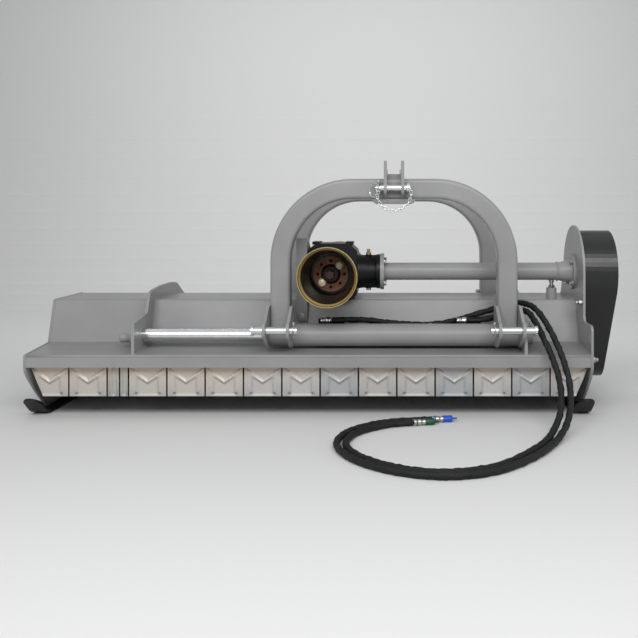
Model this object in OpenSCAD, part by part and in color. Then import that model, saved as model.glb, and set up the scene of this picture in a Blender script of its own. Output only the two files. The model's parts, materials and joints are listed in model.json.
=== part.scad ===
// Tractor flail mower with a double arch headstock that slides sideways on two rails.
// Front is -Y, the drive side is +X, the ground is z = 0. Millimetres.

/* [Deck] */
// Clear width between the side plates
cut_w = 2200; // [2120:10:2400]
// Thickness of a side plate
side_t = 9; // [6:1:12]
// Depth of the deck from band face to band face
deck_d = 892; // [880:2:930]
// Thickness of the deck sheet
shell_t = 6; // [4:1:8]
// Height of the hood top
top_z = 440; // [432:1:445]
// Depth of the flat hood top
top_d = 308; // [300:2:330]
// Height of the lower edge of the bands
band_z = 204; // [198:1:210]
// Height of a band
band_h = 48; // [44:1:56]
// Depth of the sloping shelf behind a band
shelf_d = 235; // [230:1:240]
// Rise of the shelf from the band to the hood
shelf_rise = 16; // [10:1:20]
// Half the length of a side plate's foot
foot_half = 256; // [240:2:270]

/* [Skids] */
// Width of a skid
skid_w = 72; // [66:1:90]
// How far a skid stands out past its side plate
skid_out = 12; // [8:1:20]
// Thickness of the skid bar
skid_t = 10; // [8:1:14]
// Radius of the upturned front of a skid
skid_bend_r = 120; // [100:5:140]
// Length of the straight tip of a skid
skid_tip = 75; // [60:1:85]

/* [Slide] */
// Plate thickness of the ribs that carry the rails
rib_t = 12; // [10:1:14]
// Height of the ribs over the hood top
rib_rise = 45; // [36:1:55]
// Distance of the left rib from the left side plate
rib_left = 417; // [400:1:430]
// Distance of the right rib from the right side plate
rib_right = 253; // [240:1:270]
// Diameter of a slide rail
rail_dia = 55; // [50:1:60]
// Height of the rails
rail_z = 314; // [312:1:318]
// Distance of a rail behind its band face
rail_in = 120; // [116:1:124]
// How far the carriage tubes stand out past the arches
car_end = 9; // [5:1:14]
// Outer diameter of the carriage tubes
car_dia = 90; // [84:1:92]
// Sideways travel of the carriage
car_travel = 480; // [400:10:485]
// Gap between the carriage and the right rib at rest
car_gap = 5; // [4:1:10]

/* [Headstock] */
// Side of the square arch tube
arch_tube = 80; // [70:1:84]
// Wall of the arch tube
arch_wall = 6; // [4:1:8]
// Corner radius of the arch tube
arch_edge = 14; // [10:1:16]
// Outer width of the arches
arch_w = 988; // [960:2:1000]
// Height of the arch top
arch_z = 942; // [920:1:970]
// Outer radius of the arch bends
arch_r = 330; // [300:5:360]
// Plate thickness of the lugs
lug_t = 12; // [10:1:14]
// Pin diameter of the lower link lugs
low_pin_dia = 28; // [25:0.5:30]
// Height of the lower link pins
low_pin_z = 351; // [349:1:356]
// How far the lower link pins lie in front of the bands
low_pin_out = 30; // [26:1:40]
// Inner gap of the top link lugs
top_gap = 57; // [50:1:64]
// Pin diameter of the top link lugs
top_pin_dia = 25; // [22:0.5:28]
// Height of the top link pin
top_pin_z = 903; // [896:1:912]

/* [Drive] */
// Place of the gearbox's middle, right of the left arch leg's inner face
box_in = 156; // [146:1:170]
// Distance of the drive axis in front of the deck middle
axis_in = 110; // [100:1:116]
// Height of the drive axis
axis_z = 556; // [552:1:570]
// Width of the gearbox body
box_w = 208; // [196:2:220]
// Outer diameter of the drive tube
tube_dia = 74; // [70:1:80]
// Diameter of the drive shaft
drive_dia = 40; // [36:1:44]
// Diameter of the splined through shaft
pto_dia = 34.9; // [30:0.1:38]
// Rim diameter of the shaft guards
cup_dia = 230; // [220:2:236]
// Reach of a shaft guard from the drive axis
cup_reach = 376; // [360:2:380]
// Width of the belt guard
guard_w = 140; // [134:1:160]
// Radius of the belt guard at the drive pulley
guard_r = 175; // [168:1:185]
// Outer radius of the drive pulley
pulley_r = 140; // [130:1:145]
// Outer radius of the rotor pulley
small_r = 112; // [104:1:116]

/* [Rotor and roller] */
// Height of the rotor axis
rotor_z = 200; // [194:1:206]
// How far the left bearing cap stands out past its side plate
bear_out = 45; // [40:1:55]
// Distance of the rotor axis behind the deck middle
rotor_in = 45; // [38:1:50]
// Diameter of the rotor tube
rotor_dia = 140; // [130:1:150]
// Radius of the circle that the flail tips run on
tip_r = 160; // [154:1:164]
// Number of flails
flail_count = 24; // [16:2:28]
// Diameter of the roller
roller_dia = 160; // [150:1:164]
// Distance of the roller axis in front of the deck's rear face
roller_back = 111; // [101:1:118]

/* [Flaps] */
// Number of full flaps left of the narrow pair
flaps_left = 2; // [1:1:6]
// Number of full flaps in all
flaps_full = 14; // [12:1:16]
// Width of the left flap of the narrow pair
narrow_a = 46; // [40:1:60]
// Width of the right flap of the narrow pair
narrow_b = 32; // [28:1:40]
// Gap between neighbouring flaps
flap_gap = 3; // [2:0.5:5]
// Thickness of a flap
flap_t = 4; // [3:0.5:5]
// Height of the lower edge of the flaps
flap_z = 83; // [76:1:95]
// Diameter of the flap rod
flap_rod_dia = 14; // [12:0.5:16]

/* [Side shift] */
// Outer diameter of the cylinder barrel
barrel_dia = 62; // [58:1:64]
// Bore of the barrel
barrel_bore = 50; // [46:1:52]
// Diameter of the piston rod
rod_dia = 30; // [25:1:32]
// Outer diameter of the hose sleeves
hose_dia = 25; // [20:1:28]

/* [Hidden] */
$fn = 64;
// Radial room of a turning or sliding fit
run = 0.08;
// Radial room of a bore round a fixed piece
seat = 0.1;

// Frame: the middle of everything but the hoses is the origin
deck_x = -(guard_w - bear_out) / 2;
half_d = deck_d / 2;
in_left = deck_x - cut_w / 2;
in_right = deck_x + cut_w / 2;
out_right = in_right + side_t;
shelf_z = band_z + band_h + shelf_rise;
wall_y = half_d - shelf_d;
top_y = top_d / 2;

// Slide and carriage
rail_y = half_d - rail_in;
rib_left_x = in_left + rib_left;
rib_right_x = in_right - rib_right;
car_len = arch_w + 2 * car_end;
car_x = rib_right_x - rib_t / 2 - car_gap - car_len / 2;
leg_x = arch_w / 2 - arch_tube / 2;
low_pin_y = half_d + low_pin_out;

// Drive
box_x = car_x - arch_w / 2 + arch_tube + box_in;
axis_y = -axis_in;
rotor_y = rotor_in;
roller_y = half_d - roller_back;
upper_c = [axis_y, axis_z];
lower_c = [rotor_y, rotor_z];

function unit(v) = v / norm(v);
function right_of(a, b) = let (u = unit(b - a)) [u[1], -u[0]];

// Path moved by t to its right-hand side, with mitred corners
function inset(path, t) = [
    for (i = [0 : len(path) - 1])
        let (
            last = len(path) - 1,
            n1 = right_of(path[max(i - 1, 0)], path[max(i, 1)]),
            n2 = right_of(path[min(i, last - 1)], path[min(i + 1, last)])
        )
        path[i] + t * (n1 + n2) / (1 + n1 * n2)
];
function back(list) = [for (i = [len(list) - 1 : -1 : 0]) list[i]];
function mirrored(path) = concat(path, [for (p = back(path)) [-p[0], p[1]]]);
// Points of an arc from angle a to angle b
arc_step = 6;
function arc(c, r, a, b) =
    let (n = ceil(abs(b - a) / arc_step))
    [for (k = [0 : n]) c + r * [cos(a + (b - a) * k / n), sin(a + (b - a) * k / n)]];

// Folded sheet of thickness t whose outer face follows the path
module sheet(path, t) {
    polygon(concat(path, back(inset(path, t))));
}

// Outline in the Y-Z plane drawn out along X
module along_x(x, len) {
    translate([x, 0, 0])
        rotate([90, 0, 90])
            linear_extrude(len)
                children();
}

// Round bar along X, Y
module bar_x(x, len, y, z, d) {
    translate([x, y, z])
        rotate([0, 90, 0])
            cylinder(h = len, d = d);
}
module bar_y(x, y, len, z, d) {
    translate([x, y, z])
        rotate([-90, 0, 0])
            cylinder(h = len, d = d);
}

// Revolved profile whose axis lies along X, Y
module turned_x(x, y, z) {
    translate([x, y, z])
        rotate([0, 90, 0])
            rotate_extrude()
                children();
}
module turned_y(x, y, z) {
    translate([x, y, z])
        rotate([-90, 0, 0])
            rotate_extrude()
                children();
}

// Hexagon bolt head with a washer, standing on a face that looks along +Z
module bolt_head(d) {
    cylinder(h = 0.2 * d, d = 2.2 * d);
    translate([0, 0, 0.2 * d])
        cylinder(h = 0.7 * d, d = 1.9 * d, $fn = 6);
}
module bolt_x(p, d, side) {
    translate(p)
        rotate([0, 90 * side, 0])
            bolt_head(d);
}
module bolt_y(p, d, side) {
    translate(p)
        rotate([-90 * side, 0, 0])
            bolt_head(d);
}

// Path with its inner corners rounded to radius r
bend_steps = 4;
function bent(path, r) = [
    for (i = [0 : len(path) - 1])
        each i == 0 || i == len(path) - 1 ? [path[i]] :
            let (
                u = unit(path[i - 1] - path[i]),
                v = unit(path[i + 1] - path[i]),
                half = acos(u * v) / 2,
                turn = 180 - 2 * half,
                c = path[i] + unit(u + v) * r / sin(half),
                p = path[i] + u * r / tan(half) - c,
                q = path[i] + v * r / tan(half) - c
            )
            [
                for (k = [0 : bend_steps])
                    c + r * unit(p * sin(turn * (1 - k / bend_steps)) + q * sin(turn * k / bend_steps))
            ]
];

// Deck outline, front band foot to rear band foot, as the outer face of the sheet
fold_r = 10;
deck_fold = mirrored([
    [-half_d, band_z],
    [-half_d, band_z + band_h],
    [-wall_y, shelf_z],
    [-top_y, top_z]
]);
deck_path = bent(deck_fold, fold_r);

// Rib outline over the deck: a nose over each rail, steep at the front, with a crowned top
rib_nose = 60;
rib_step = 21;
rib_crown = [[-224, -12], [-184, -2], [-40, 7], [110, 7], [190, 0], [230, -13]];
rib_path = concat(
    [[-half_d, rail_z + rib_nose], [-rail_y + rib_nose, rail_z + rib_nose + rib_step]],
    [for (p = rib_crown) [p[0], top_z + rib_rise + p[1]]],
    [[half_d, rail_z + rib_nose]]
);
rib_seat = [for (i = [len(deck_path) - 2 : -1 : 1]) deck_path[i]];

// Cylinder behind the front carriage tube
barrel_gap = 4;
barrel_y = -(rail_y - car_dia / 2 - barrel_dia / 2 - barrel_gap);
barrel_z = rail_z + 2;
piston_len = 40;
cap_len = 25;
gland_len = 40;
stroke_room = 55;
barrel_len = car_travel + piston_len + cap_len + gland_len + stroke_room;
barrel_right = car_x + 310;
barrel_x = barrel_right - barrel_len;
rod_thread = rod_dia - 6;
port_x = [barrel_x + 30, barrel_right - 50];
port_rise = 14;
port_z = barrel_z + barrel_dia / 2 + port_rise;
port_len = 45;

// Flap rod under the front shelf
flap_y = -half_d + 45;
flap_rod_z = band_z + 8;

// Rotor and roller fits
stub_dia = 50;
bear_len = 30;
bear_r = 65;
roller_z = roller_dia / 2 + 3;
roller_stub = 40;
bracket_t = 10;

// Round head of the drive-side plate
head_rim = 22;
head_r = guard_r + head_rim;
step_z = 365;
step_r = 25;

// Gearbox casting
box_d = 190;
box_h = 236;
box_drop = 114;
neck_end = 200;
neck_plate_t = 16;
neck_dia = 150;
cover_t = 6;
pto_body = 45;

paint = "#939393";
dark = "#26282a";
steel = "#c9ccce";
zinc = "#b9b6ae";

module deck_shell() {
    color(paint)
        along_x(in_left, cut_w)
            sheet(deck_path, shell_t);
}

// Side plate with the holes for the rotor shaft and the flap rod
nose_cut = [[6, 18], [22, 40], [93, 106], [176, 175]];
plate_foot = concat(
    [for (c = nose_cut) [half_d - c[0], band_z - c[1]]],
    [[foot_half, skid_t], [-foot_half, skid_t]],
    [for (c = back(nose_cut)) [c[0] - half_d, band_z - c[1]]]
);
module plate_outline(path) {
    difference() {
        polygon(concat(path, plate_foot));
        translate(lower_c)
            circle(d = stub_dia + 12);
        translate([flap_y, flap_rod_z])
            circle(d = flap_rod_dia + 2 * seat);
        children();
    }
}

module side_plate_left() {
    color(paint)
        along_x(in_left - side_t, side_t)
            plate_outline(deck_path);
}

// Drive-side plate: stepped nose with a slot, and a round head about the drive axis
nose_y = axis_y - head_r;
head_path = concat(
    [[-half_d, band_z]],
    arc([-half_d + step_r, step_z - step_r], step_r, 180, 90),
    arc([nose_y - step_r, step_z + step_r], step_r, 270, 360),
    arc(upper_c, head_r, 180, 0),
    [for (i = [4 : 7]) deck_fold[i]]
);
module side_plate_right() {
    color(paint)
        along_x(in_right, side_t)
            plate_outline(head_path) {
                translate(upper_c)
                    circle(d = drive_dia + 12);
                translate([-half_d + 14, step_z - 68])
                    square([10, 46]);
            }
}

// Rib plates that stand over the hood and carry both rails
module rib(x, with_rod) {
    along_x(x - rib_t / 2, rib_t)
        difference() {
            polygon(concat(rib_path, rib_seat));
            for (side = [-1, 1])
                translate([side * rail_y, rail_z])
                    circle(d = rail_dia + 2 * seat);
            if (with_rod)
                translate([barrel_y, barrel_z])
                    circle(d = rod_thread + 2 * seat);
        }
}

module rail_brackets() {
    color(paint) {
        rib(rib_left_x, false);
        rib(rib_right_x, true);
    }
}

collar_len = 35;
collar_dia = rail_dia + 21;
collar_pad = 24;
rail_x0 = rib_left_x - rib_t / 2 - collar_len;
rail_len = rib_right_x + rib_t / 2 + collar_len - rail_x0;

module slide_rails() {
    color(steel)
        for (side = [-1, 1])
            bar_x(rail_x0, rail_len, side * rail_y, rail_z, rail_dia);
}

// Collars that clamp the rail ends outside the ribs
module rail_collars() {
    color(paint)
        for (side = [-1, 1], x = [rail_x0, rail_x0 + rail_len - collar_len])
            difference() {
                union() {
                    bar_x(x, collar_len, side * rail_y, rail_z, collar_dia);
                    translate([x + (collar_len - collar_pad) / 2, side * rail_y - collar_pad / 2, rail_z])
                        cube([collar_pad, collar_pad, collar_dia / 2 + 4]);
                }
                bar_x(x - 1, collar_len + 2, side * rail_y, rail_z, rail_dia + 2 * seat);
            }
}

module flap_rod() {
    color(steel)
        bar_x(in_left - side_t, cut_w + 2 * side_t, flap_y, flap_rod_z, flap_rod_dia);
}

// Runner with a straight upturned tip at the front and rounded corners
skid_rise = 38;
skid_round = 18;
skid_flat = foot_half + 44;
skid_bend = arc([-skid_flat, skid_bend_r], skid_bend_r, 270, 270 - skid_rise);
skid_end = skid_bend[len(skid_bend) - 1] + skid_tip * [-cos(skid_rise), sin(skid_rise)];
module skid(x) {
    front = skid_end[0] + skid_round;
    intersection() {
        along_x(x, skid_w)
            sheet(concat([[skid_flat, 0]], skid_bend, [skid_end]), skid_t);
        linear_extrude(skid_bend_r)
            polygon(concat(
                arc([x + skid_w - skid_round, front], skid_round, 360, 270),
                arc([x + skid_round, front], skid_round, 270, 180),
                [[x, skid_flat], [x + skid_w, skid_flat]]
            ));
    }
}

module skids() {
    color(dark) {
        skid(in_left - side_t - skid_out);
        skid(out_right + skid_out - skid_w);
    }
}

// Hangers of the rear roller, on the inner faces of the side plates
hanger_r = 45;
hanger_front = 95;
hanger_rear = 60;
hanger_lap = 20;
hanger_bolts = [-50, 20];
module roller_brackets() {
    color(paint)
        for (x = [in_left, in_right - bracket_t])
            along_x(x, bracket_t)
                difference() {
                    union() {
                        translate([roller_y, roller_z])
                            circle(r = hanger_r);
                        polygon([
                            [roller_y - hanger_r, roller_z],
                            [roller_y - hanger_front, band_z + hanger_lap],
                            [roller_y + hanger_rear, band_z + hanger_lap],
                            [roller_y + hanger_r, roller_z]
                        ]);
                    }
                    translate([roller_y, roller_z])
                        circle(d = roller_stub + 2 * run);
                }
}

curtain_t = 5;
curtain_low = 70;
curtain_top = band_z + band_h - shell_t - 12;
module rear_curtain() {
    color("#1d1d1d")
        translate([in_left + 1, half_d - shell_t - curtain_t, curtain_low])
            cube([cut_w - 2, curtain_t, curtain_top - curtain_low]);
}

// Flanged bearings of the rotor, outside both side plates
bear_plate = 14;
module bearing(x, side, reach, bore) {
    difference() {
        union() {
            bar_x(side > 0 ? x : x - bear_plate, bear_plate, rotor_y, rotor_z, 2 * bear_r);
            bar_x(side > 0 ? x : x - reach, reach, rotor_y, rotor_z, 2 * bear_r - 44);
        }
        bar_x(side > 0 ? x - 1 : x - bore, bore + 1, rotor_y, rotor_z, stub_dia + 2 * run);
    }
}

// The left bearing is closed by its cap, the right one lets the shaft through to the pulley
module rotor_bearings() {
    color(dark) {
        bearing(in_left - side_t, -1, bear_out, bear_len + 8);
        bearing(out_right, 1, bear_len, bear_len + 1);
    }
}

// Gearbox casting with rounded corners, a tapered neck towards the drive tube and bearing covers
box_corner = 40;
cover_dia = 116;
pad = [32, 120, 12];
pad_in = 34;
neck_lap = 4;
neck_taper = 36;
web_t = 12;
boss_at = 150;
boss_dia = 24;
foot_in = 14;
foot_d = 110;
foot_h = 20;
module gearbox_housing() {
    boss_x = box_x + boss_at;
    boss_h = neck_dia / 2 - 7;
    neck_x = box_x + box_w / 2 - neck_lap;
    neck_len = neck_end - box_w / 2 - 2 * neck_lap;
    color(dark)
        difference() {
            union() {
                intersection() {
                    translate([box_x - box_w / 2, axis_y - box_d / 2, axis_z - box_drop])
                        cube([box_w, box_d, box_h]);
                    bar_y(box_x, axis_y - box_d / 2, box_d, axis_z, box_h + box_corner);
                }
                for (y = [axis_y - box_d / 2 - cover_t, axis_y + box_d / 2])
                    bar_y(box_x, y, cover_t, axis_z, cover_dia);
                for (x = [box_x - box_w / 2 + pad_in, box_x + box_w / 2 - pad_in])
                    translate([x, axis_y, axis_z + box_h - box_drop] - pad / 2)
                        cube(pad);
                translate([neck_x, axis_y, axis_z])
                    rotate([0, 90, 0])
                        cylinder(h = neck_len, d1 = neck_dia, d2 = neck_dia - neck_taper);
                bar_x(box_x + neck_end - neck_plate_t, neck_plate_t, axis_y, axis_z, neck_dia - 4);
                translate([neck_x, axis_y - web_t / 2, axis_z - boss_h - 2])
                    cube([neck_len, web_t, 2 * boss_h + 4]);
                translate([boss_x, axis_y, axis_z - boss_h - 4])
                    cylinder(h = 2 * boss_h + 8, d = boss_dia);
                translate([box_x - box_w / 2 + foot_in, -top_y + 4, top_z])
                    cube([box_w - 2 * foot_in, foot_d, foot_h]);
            }
            bar_y(box_x, axis_y - box_d, 2 * box_d, axis_z, pto_body + 2 * run);
            bar_x(box_x + pto_body, neck_end, axis_y, axis_z, drive_dia + 2 * run);
        }
}

// Brass breather on the neck and drain plug under it
module gearbox_plugs() {
    boss_h = neck_dia / 2 - 3;
    color("#b08a45") {
        translate([box_x + boss_at, axis_y, axis_z + boss_h]) {
            cylinder(h = 9, d = 22, $fn = 6);
            cylinder(h = 18, d = 13);
            translate([0, 0, 18])
                cylinder(h = 6, d1 = 18, d2 = 12);
        }
        translate([box_x + boss_at, axis_y, axis_z - boss_h - 8])
            cylinder(h = 8, d = 20, $fn = 6);
    }
}

// Channel welded to the hood that holds the left face of the gearbox
support_t = 8;
support_w = 46;
support_top = 700;
support_low = 352;
support_cut = [40, 60];
support_y0 = -200;
support_y1 = -20;
module gearbox_support() {
    foot = -top_y - (top_z - support_low) * (wall_y - top_y) / (top_z - shelf_z);
    x1 = box_x - box_w / 2;
    color(paint) {
        along_x(x1 - support_t, support_t)
            polygon([
                [support_y0, support_low],
                [foot, support_low],
                [-top_y, top_z],
                [support_y1, top_z],
                [support_y1, support_top - support_cut[1]],
                [support_y0 + support_cut[0], support_top],
                [support_y0, support_top]
            ]);
        translate([x1 - support_w, support_y0, support_low + support_w / 2])
            cube([support_w - support_t, support_t, support_top - support_low - support_w / 2]);
        bar_y(x1 - support_w / 2, support_y0, support_t, support_low + support_w / 2, support_w - 2);
    }
}

// Bowl round the through shaft, open at the rim
cup_wall = 4;
cup_foot_r = 90;
module cup() {
    rim = cup_dia / 2;
    depth = cup_reach - box_d / 2;
    outer = [
        [rim, 0], [rim, 16], [rim - 5, 40],
        [cup_foot_r + 6, 130], [cup_foot_r, 165], [cup_foot_r, depth]
    ];
    turned_y(box_x, axis_y - cup_reach, axis_z)
        polygon(concat(
            outer,
            [[cup_foot_r - 28, depth], [cup_foot_r - 28, depth - 5]],
            [for (i = [len(outer) - 1 : -1 : 1]) outer[i] - [cup_wall, i == len(outer) - 1 ? 5 : 0]],
            [[rim - cup_wall, 0]]
        ));
}

module pto_guards() {
    color("#2b2c2a") {
        cup();
        translate([0, 2 * axis_y, 0])
            mirror([0, 1, 0])
                cup();
    }
}

// Drive tube with its gearbox flange, flared end and end flange
flange_t = 16;
flange_bolt_r = 64;
flange_dia = 153;
tube_x0 = box_x + neck_end;
flare_len = 57;
end_t = 12;
module drive_tube() {
    flare_x = in_right - end_t - flare_len;
    color(paint)
        difference() {
            union() {
                bar_x(tube_x0, flange_t, axis_y, axis_z, flange_dia);
                bar_x(tube_x0, in_right - tube_x0, axis_y, axis_z, tube_dia);
                translate([flare_x, axis_y, axis_z])
                    rotate([0, 90, 0])
                        cylinder(h = flare_len, d1 = tube_dia, d2 = tube_dia + 26);
                bar_x(in_right - end_t, end_t, axis_y, axis_z, tube_dia + 76);
            }
            bar_x(tube_x0 - 1, flare_x - tube_x0, axis_y, axis_z, drive_dia + 20);
            bar_x(tube_x0, in_right - tube_x0 + 1, axis_y, axis_z, drive_dia + 2 * run);
        }
}

// Post with a jack bolt under the drive tube
post_x = in_right - 92;
module tube_support() {
    tube_low = axis_z - tube_dia / 2;
    color(paint) {
        translate([post_x, axis_y, top_z])
            cylinder(h = 46, d = 43);
        translate([post_x, axis_y, top_z + 46])
            cylinder(h = 10, d = 26, $fn = 6);
        translate([post_x, axis_y, top_z + 56])
            cylinder(h = tube_low - top_z - 56, d = 14);
    }
}

// Loop round the drive and rotor axes: two arcs joined by their common tangents
axis_way = lower_c - upper_c;
axis_down = atan2(axis_way[1], axis_way[0]);
function wrap(ra, rb) = acos((ra - rb) / norm(axis_way));
module belt_outline(ra, rb) {
    half = wrap(ra, rb);
    polygon(concat(
        arc(upper_c, ra, axis_down + half, axis_down + 360 - half),
        arc(lower_c, rb, axis_down - half, axis_down + half)
    ));
}

guard_low_r = small_r + 6;
guard_t = 3;
module belt_guard() {
    color(dark)
        difference() {
            along_x(out_right, guard_w)
                belt_outline(guard_r, guard_low_r);
            along_x(out_right - 1, guard_w + 1 - guard_t)
                belt_outline(guard_r - guard_t, guard_low_r - guard_t);
        }
}

// Grooved pulleys and the V-belts that run in them
groove_pitch = 19;
groove_count = 4;
groove_deep = 13;
groove_half = 8;
groove_foot = 4.6;
belt_room = 0.4;
pulley_x = out_right + bear_len + 4;
pulley_w = groove_pitch * groove_count + 6;
function groove_mid(i) = 3 + groove_pitch * (i + 0.5);
function groove_at(deep) = groove_half - (groove_half - groove_foot) * deep / groove_deep;
module pulley_profile(r, bore_r) {
    polygon(concat(
        [[bore_r, 0], [r, 0]],
        [
            for (i = [0 : groove_count - 1], s = [[-1, 0], [-1, 1], [1, 1], [1, 0]])
                [r - s[1] * groove_deep, groove_mid(i) + s[0] * (s[1] == 1 ? groove_foot : groove_half)]
        ],
        [[r, pulley_w], [bore_r, pulley_w]]
    ));
}
belt_top = 0.5;
belt_low = 10.5;
// Loop that a belt follows, that far below the rims of the pulleys
function belt_loop(deep) =
    let (half = wrap(pulley_r, small_r))
    concat(
        arc(upper_c, pulley_r - deep, axis_down + half, axis_down + 360 - half),
        arc(lower_c, small_r - deep, axis_down - half, axis_down + half)
    );

// One V-belt: a closed band of four-cornered sections
module belt() {
    top = groove_at(belt_top) - belt_room;
    low = groove_at(belt_low) - belt_room;
    outer = belt_loop(belt_top);
    inner = belt_loop(belt_low);
    n = len(outer);
    corners = [
        for (k = [0 : n - 1])
            each [
                [-low, inner[k][0], inner[k][1]],
                [low, inner[k][0], inner[k][1]],
                [top, outer[k][0], outer[k][1]],
                [-top, outer[k][0], outer[k][1]]
            ]
    ];
    walls = [
        for (k = [0 : n - 1], s = [0 : 3])
            let (a = 4 * k, b = 4 * ((k + 1) % n), t = (s + 1) % 4)
            [a + s, b + s, b + t, a + t]
    ];
    polyhedron(points = corners, faces = walls);
}
module v_belts() {
    color("#1a1a1a")
        for (i = [0 : groove_count - 1])
            translate([pulley_x + groove_mid(i), 0, 0])
                belt();
}

// Piston rod, fixed to the right rib by a shoulder and a nut
piston_gap = 20;
piston_x = barrel_x + cap_len + piston_gap;
rod_nut_w = 40;
rod_nut_h = 18;
rod_end = 30;
module cylinder_rod() {
    rib_face = rib_right_x - rib_t / 2;
    color(steel) {
        bar_x(piston_x, piston_len, barrel_y, barrel_z, barrel_bore - 2 * run);
        bar_x(piston_x, rib_face - piston_x, barrel_y, barrel_z, rod_dia);
        bar_x(rib_face - 1, rib_t + rod_end, barrel_y, barrel_z, rod_thread);
        translate([rib_face + rib_t, barrel_y, barrel_z])
            rotate([0, 90, 0])
                cylinder(h = rod_nut_h, d = rod_nut_w, $fn = 6);
    }
}

// Bolts of the deck: side plates, guard, bearings, flanges, collars and support
bolt_d = 12;
small_bolt = 10;
bolt_drop = 6;
bear_bolt_r = 54;
head_bolt_in = 22;
nose_bolt_in = 40;
function around(x, c, r, a) = [x, c[0] + r * cos(a), c[1] + r * sin(a)];
module deck_bolts() {
    ring = [45, 135, 225, 315];
    color(steel) {
        for (a = ring)
            bolt_x(around(tube_x0 + flange_t, upper_c, flange_bolt_r, a), bolt_d, 1);
        for (a = ring)
            bolt_x(around(in_right - end_t, upper_c, flange_bolt_r, a), bolt_d, -1);
        for (a = ring)
            bolt_x(around(in_left - side_t - bear_plate, lower_c, bear_bolt_r, a), small_bolt, -1);
        for (side = [-1, 1], x = [rail_x0, rail_x0 + rail_len - collar_len])
            translate([x + collar_len / 2, side * rail_y, rail_z + collar_dia / 2 + 4])
                bolt_head(small_bolt);
        for (y = hanger_bolts) {
            bolt_x([in_left - side_t, roller_y + y, band_z - bolt_drop], bolt_d, -1);
            bolt_x([out_right, roller_y + y, band_z - bolt_drop], bolt_d, 1);
        }
        bolt_y([box_x - box_w / 2 - support_w / 2, support_y0, support_low + support_w / 2], small_bolt, -1);
        bolt_x([in_right, axis_y - head_r + head_bolt_in, top_z], bolt_d, -1);
        bolt_x([out_right, -half_d + nose_bolt_in, band_z + band_h / 2], bolt_d, 1);
    }
}

// Carriage: bored tubes with bushed ends on both rails, plates that clamp the cylinder
bush_len = 120;
clamp_rim = 4;
module carriage_tubes() {
    x0 = car_x - car_len / 2;
    color(paint) {
        for (side = [-1, 1])
            difference() {
                bar_x(x0, car_len, side * rail_y, rail_z, car_dia);
                bar_x(x0 - 1, car_len + 2, side * rail_y, rail_z, rail_dia + 2 * run);
                bar_x(x0 + bush_len, car_len - 2 * bush_len, side * rail_y, rail_z, rail_dia + 10);
            }
        for (x = [car_x - 150, car_x + 150])
            along_x(x - lug_t / 2, lug_t)
                difference() {
                    union() {
                        translate([barrel_y, barrel_z])
                            circle(d = barrel_dia + 2 * clamp_rim);
                        translate([-rail_y, rail_z - 20])
                            square([barrel_y + rail_y, 40]);
                    }
                    translate([-rail_y, rail_z])
                        circle(d = car_dia);
                    translate([barrel_y, barrel_z])
                        circle(d = barrel_dia + 2 * seat);
                }
    }
}

// Square section with its corners rounded, or sharp where round is 0
edge_steps = 4;
module arch_section(thick, round) {
    polygon([
        for (c = [0 : 3], k = [0 : edge_steps])
            let (a = 90 * (c + k / edge_steps), m = thick / 2 - round)
            [m * (c == 0 || c == 3 ? 1 : -1), m * (c < 2 ? 1 : -1)] + round * [cos(a), sin(a)]
    ]);
}
// Inverted U of square bar: legs, bent shoulders and top, with its faces moved in by skin
module arch_bar(skin, round) {
    thick = arch_tube - 2 * skin;
    mid_r = arch_r - arch_tube / 2;
    low = rail_z - skin;
    for (side = [-1, 1]) {
        translate([side * leg_x, 0, low])
            linear_extrude(arch_z - arch_r - low)
                arch_section(thick, round);
        translate([side * (leg_x - mid_r), 0, arch_z - arch_r])
            rotate([90, 0, 0])
                rotate([0, 0, side > 0 ? 0 : 90])
                    rotate_extrude(angle = 90)
                        translate([mid_r, 0])
                            arch_section(thick, round);
    }
    translate([-leg_x + mid_r, 0, arch_z - arch_tube / 2])
        rotate([0, 90, 0])
            linear_extrude(2 * (leg_x - mid_r))
                arch_section(thick, round);
}
// Bent square tube, coped onto its carriage tube
module arch(side) {
    difference() {
        translate([car_x, side * rail_y, 0])
            difference() {
                arch_bar(0, arch_edge);
                arch_bar(arch_wall, 1);
            }
        bar_x(car_x - arch_w, 2 * arch_w, side * rail_y, rail_z, car_dia);
    }
}
module front_arch() {
    color(paint)
        arch(-1);
}
module rear_arch() {
    color(paint)
        arch(1);
}

// Lower link lugs: a plate on each side of every leg, with a rounded nose round the pin
lug_nose = 33;
lug_under = 40;
lug_rise = 84;
pin_room = 0.2;
module low_lug_outline() {
    leg = -rail_y - arch_tube / 2;
    pin = [-low_pin_y, low_pin_z];
    difference() {
        polygon(concat(
            arc(pin, lug_nose, 80, 280),
            [
                [leg - 30, rail_z - lug_under],
                [-rail_y - 20, rail_z - lug_under],
                [-rail_y + 12, rail_z + 30],
                [leg + 34, low_pin_z + lug_rise],
                [leg - 22, low_pin_z + lug_rise]
            ]
        ));
        translate([-rail_y, rail_z])
            circle(d = car_dia);
        translate(pin)
            circle(d = low_pin_dia + 2 * pin_room);
    }
}
module low_lugs() {
    for (leg = [-1, 1], face = [-1, 1])
        along_x(car_x + leg * leg_x + face * (arch_tube + lug_t) / 2 - lug_t / 2, lug_t)
            low_lug_outline();
}
module lower_link_lugs() {
    color(paint) {
        low_lugs();
        mirror([0, 1, 0])
            low_lugs();
    }
}

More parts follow.
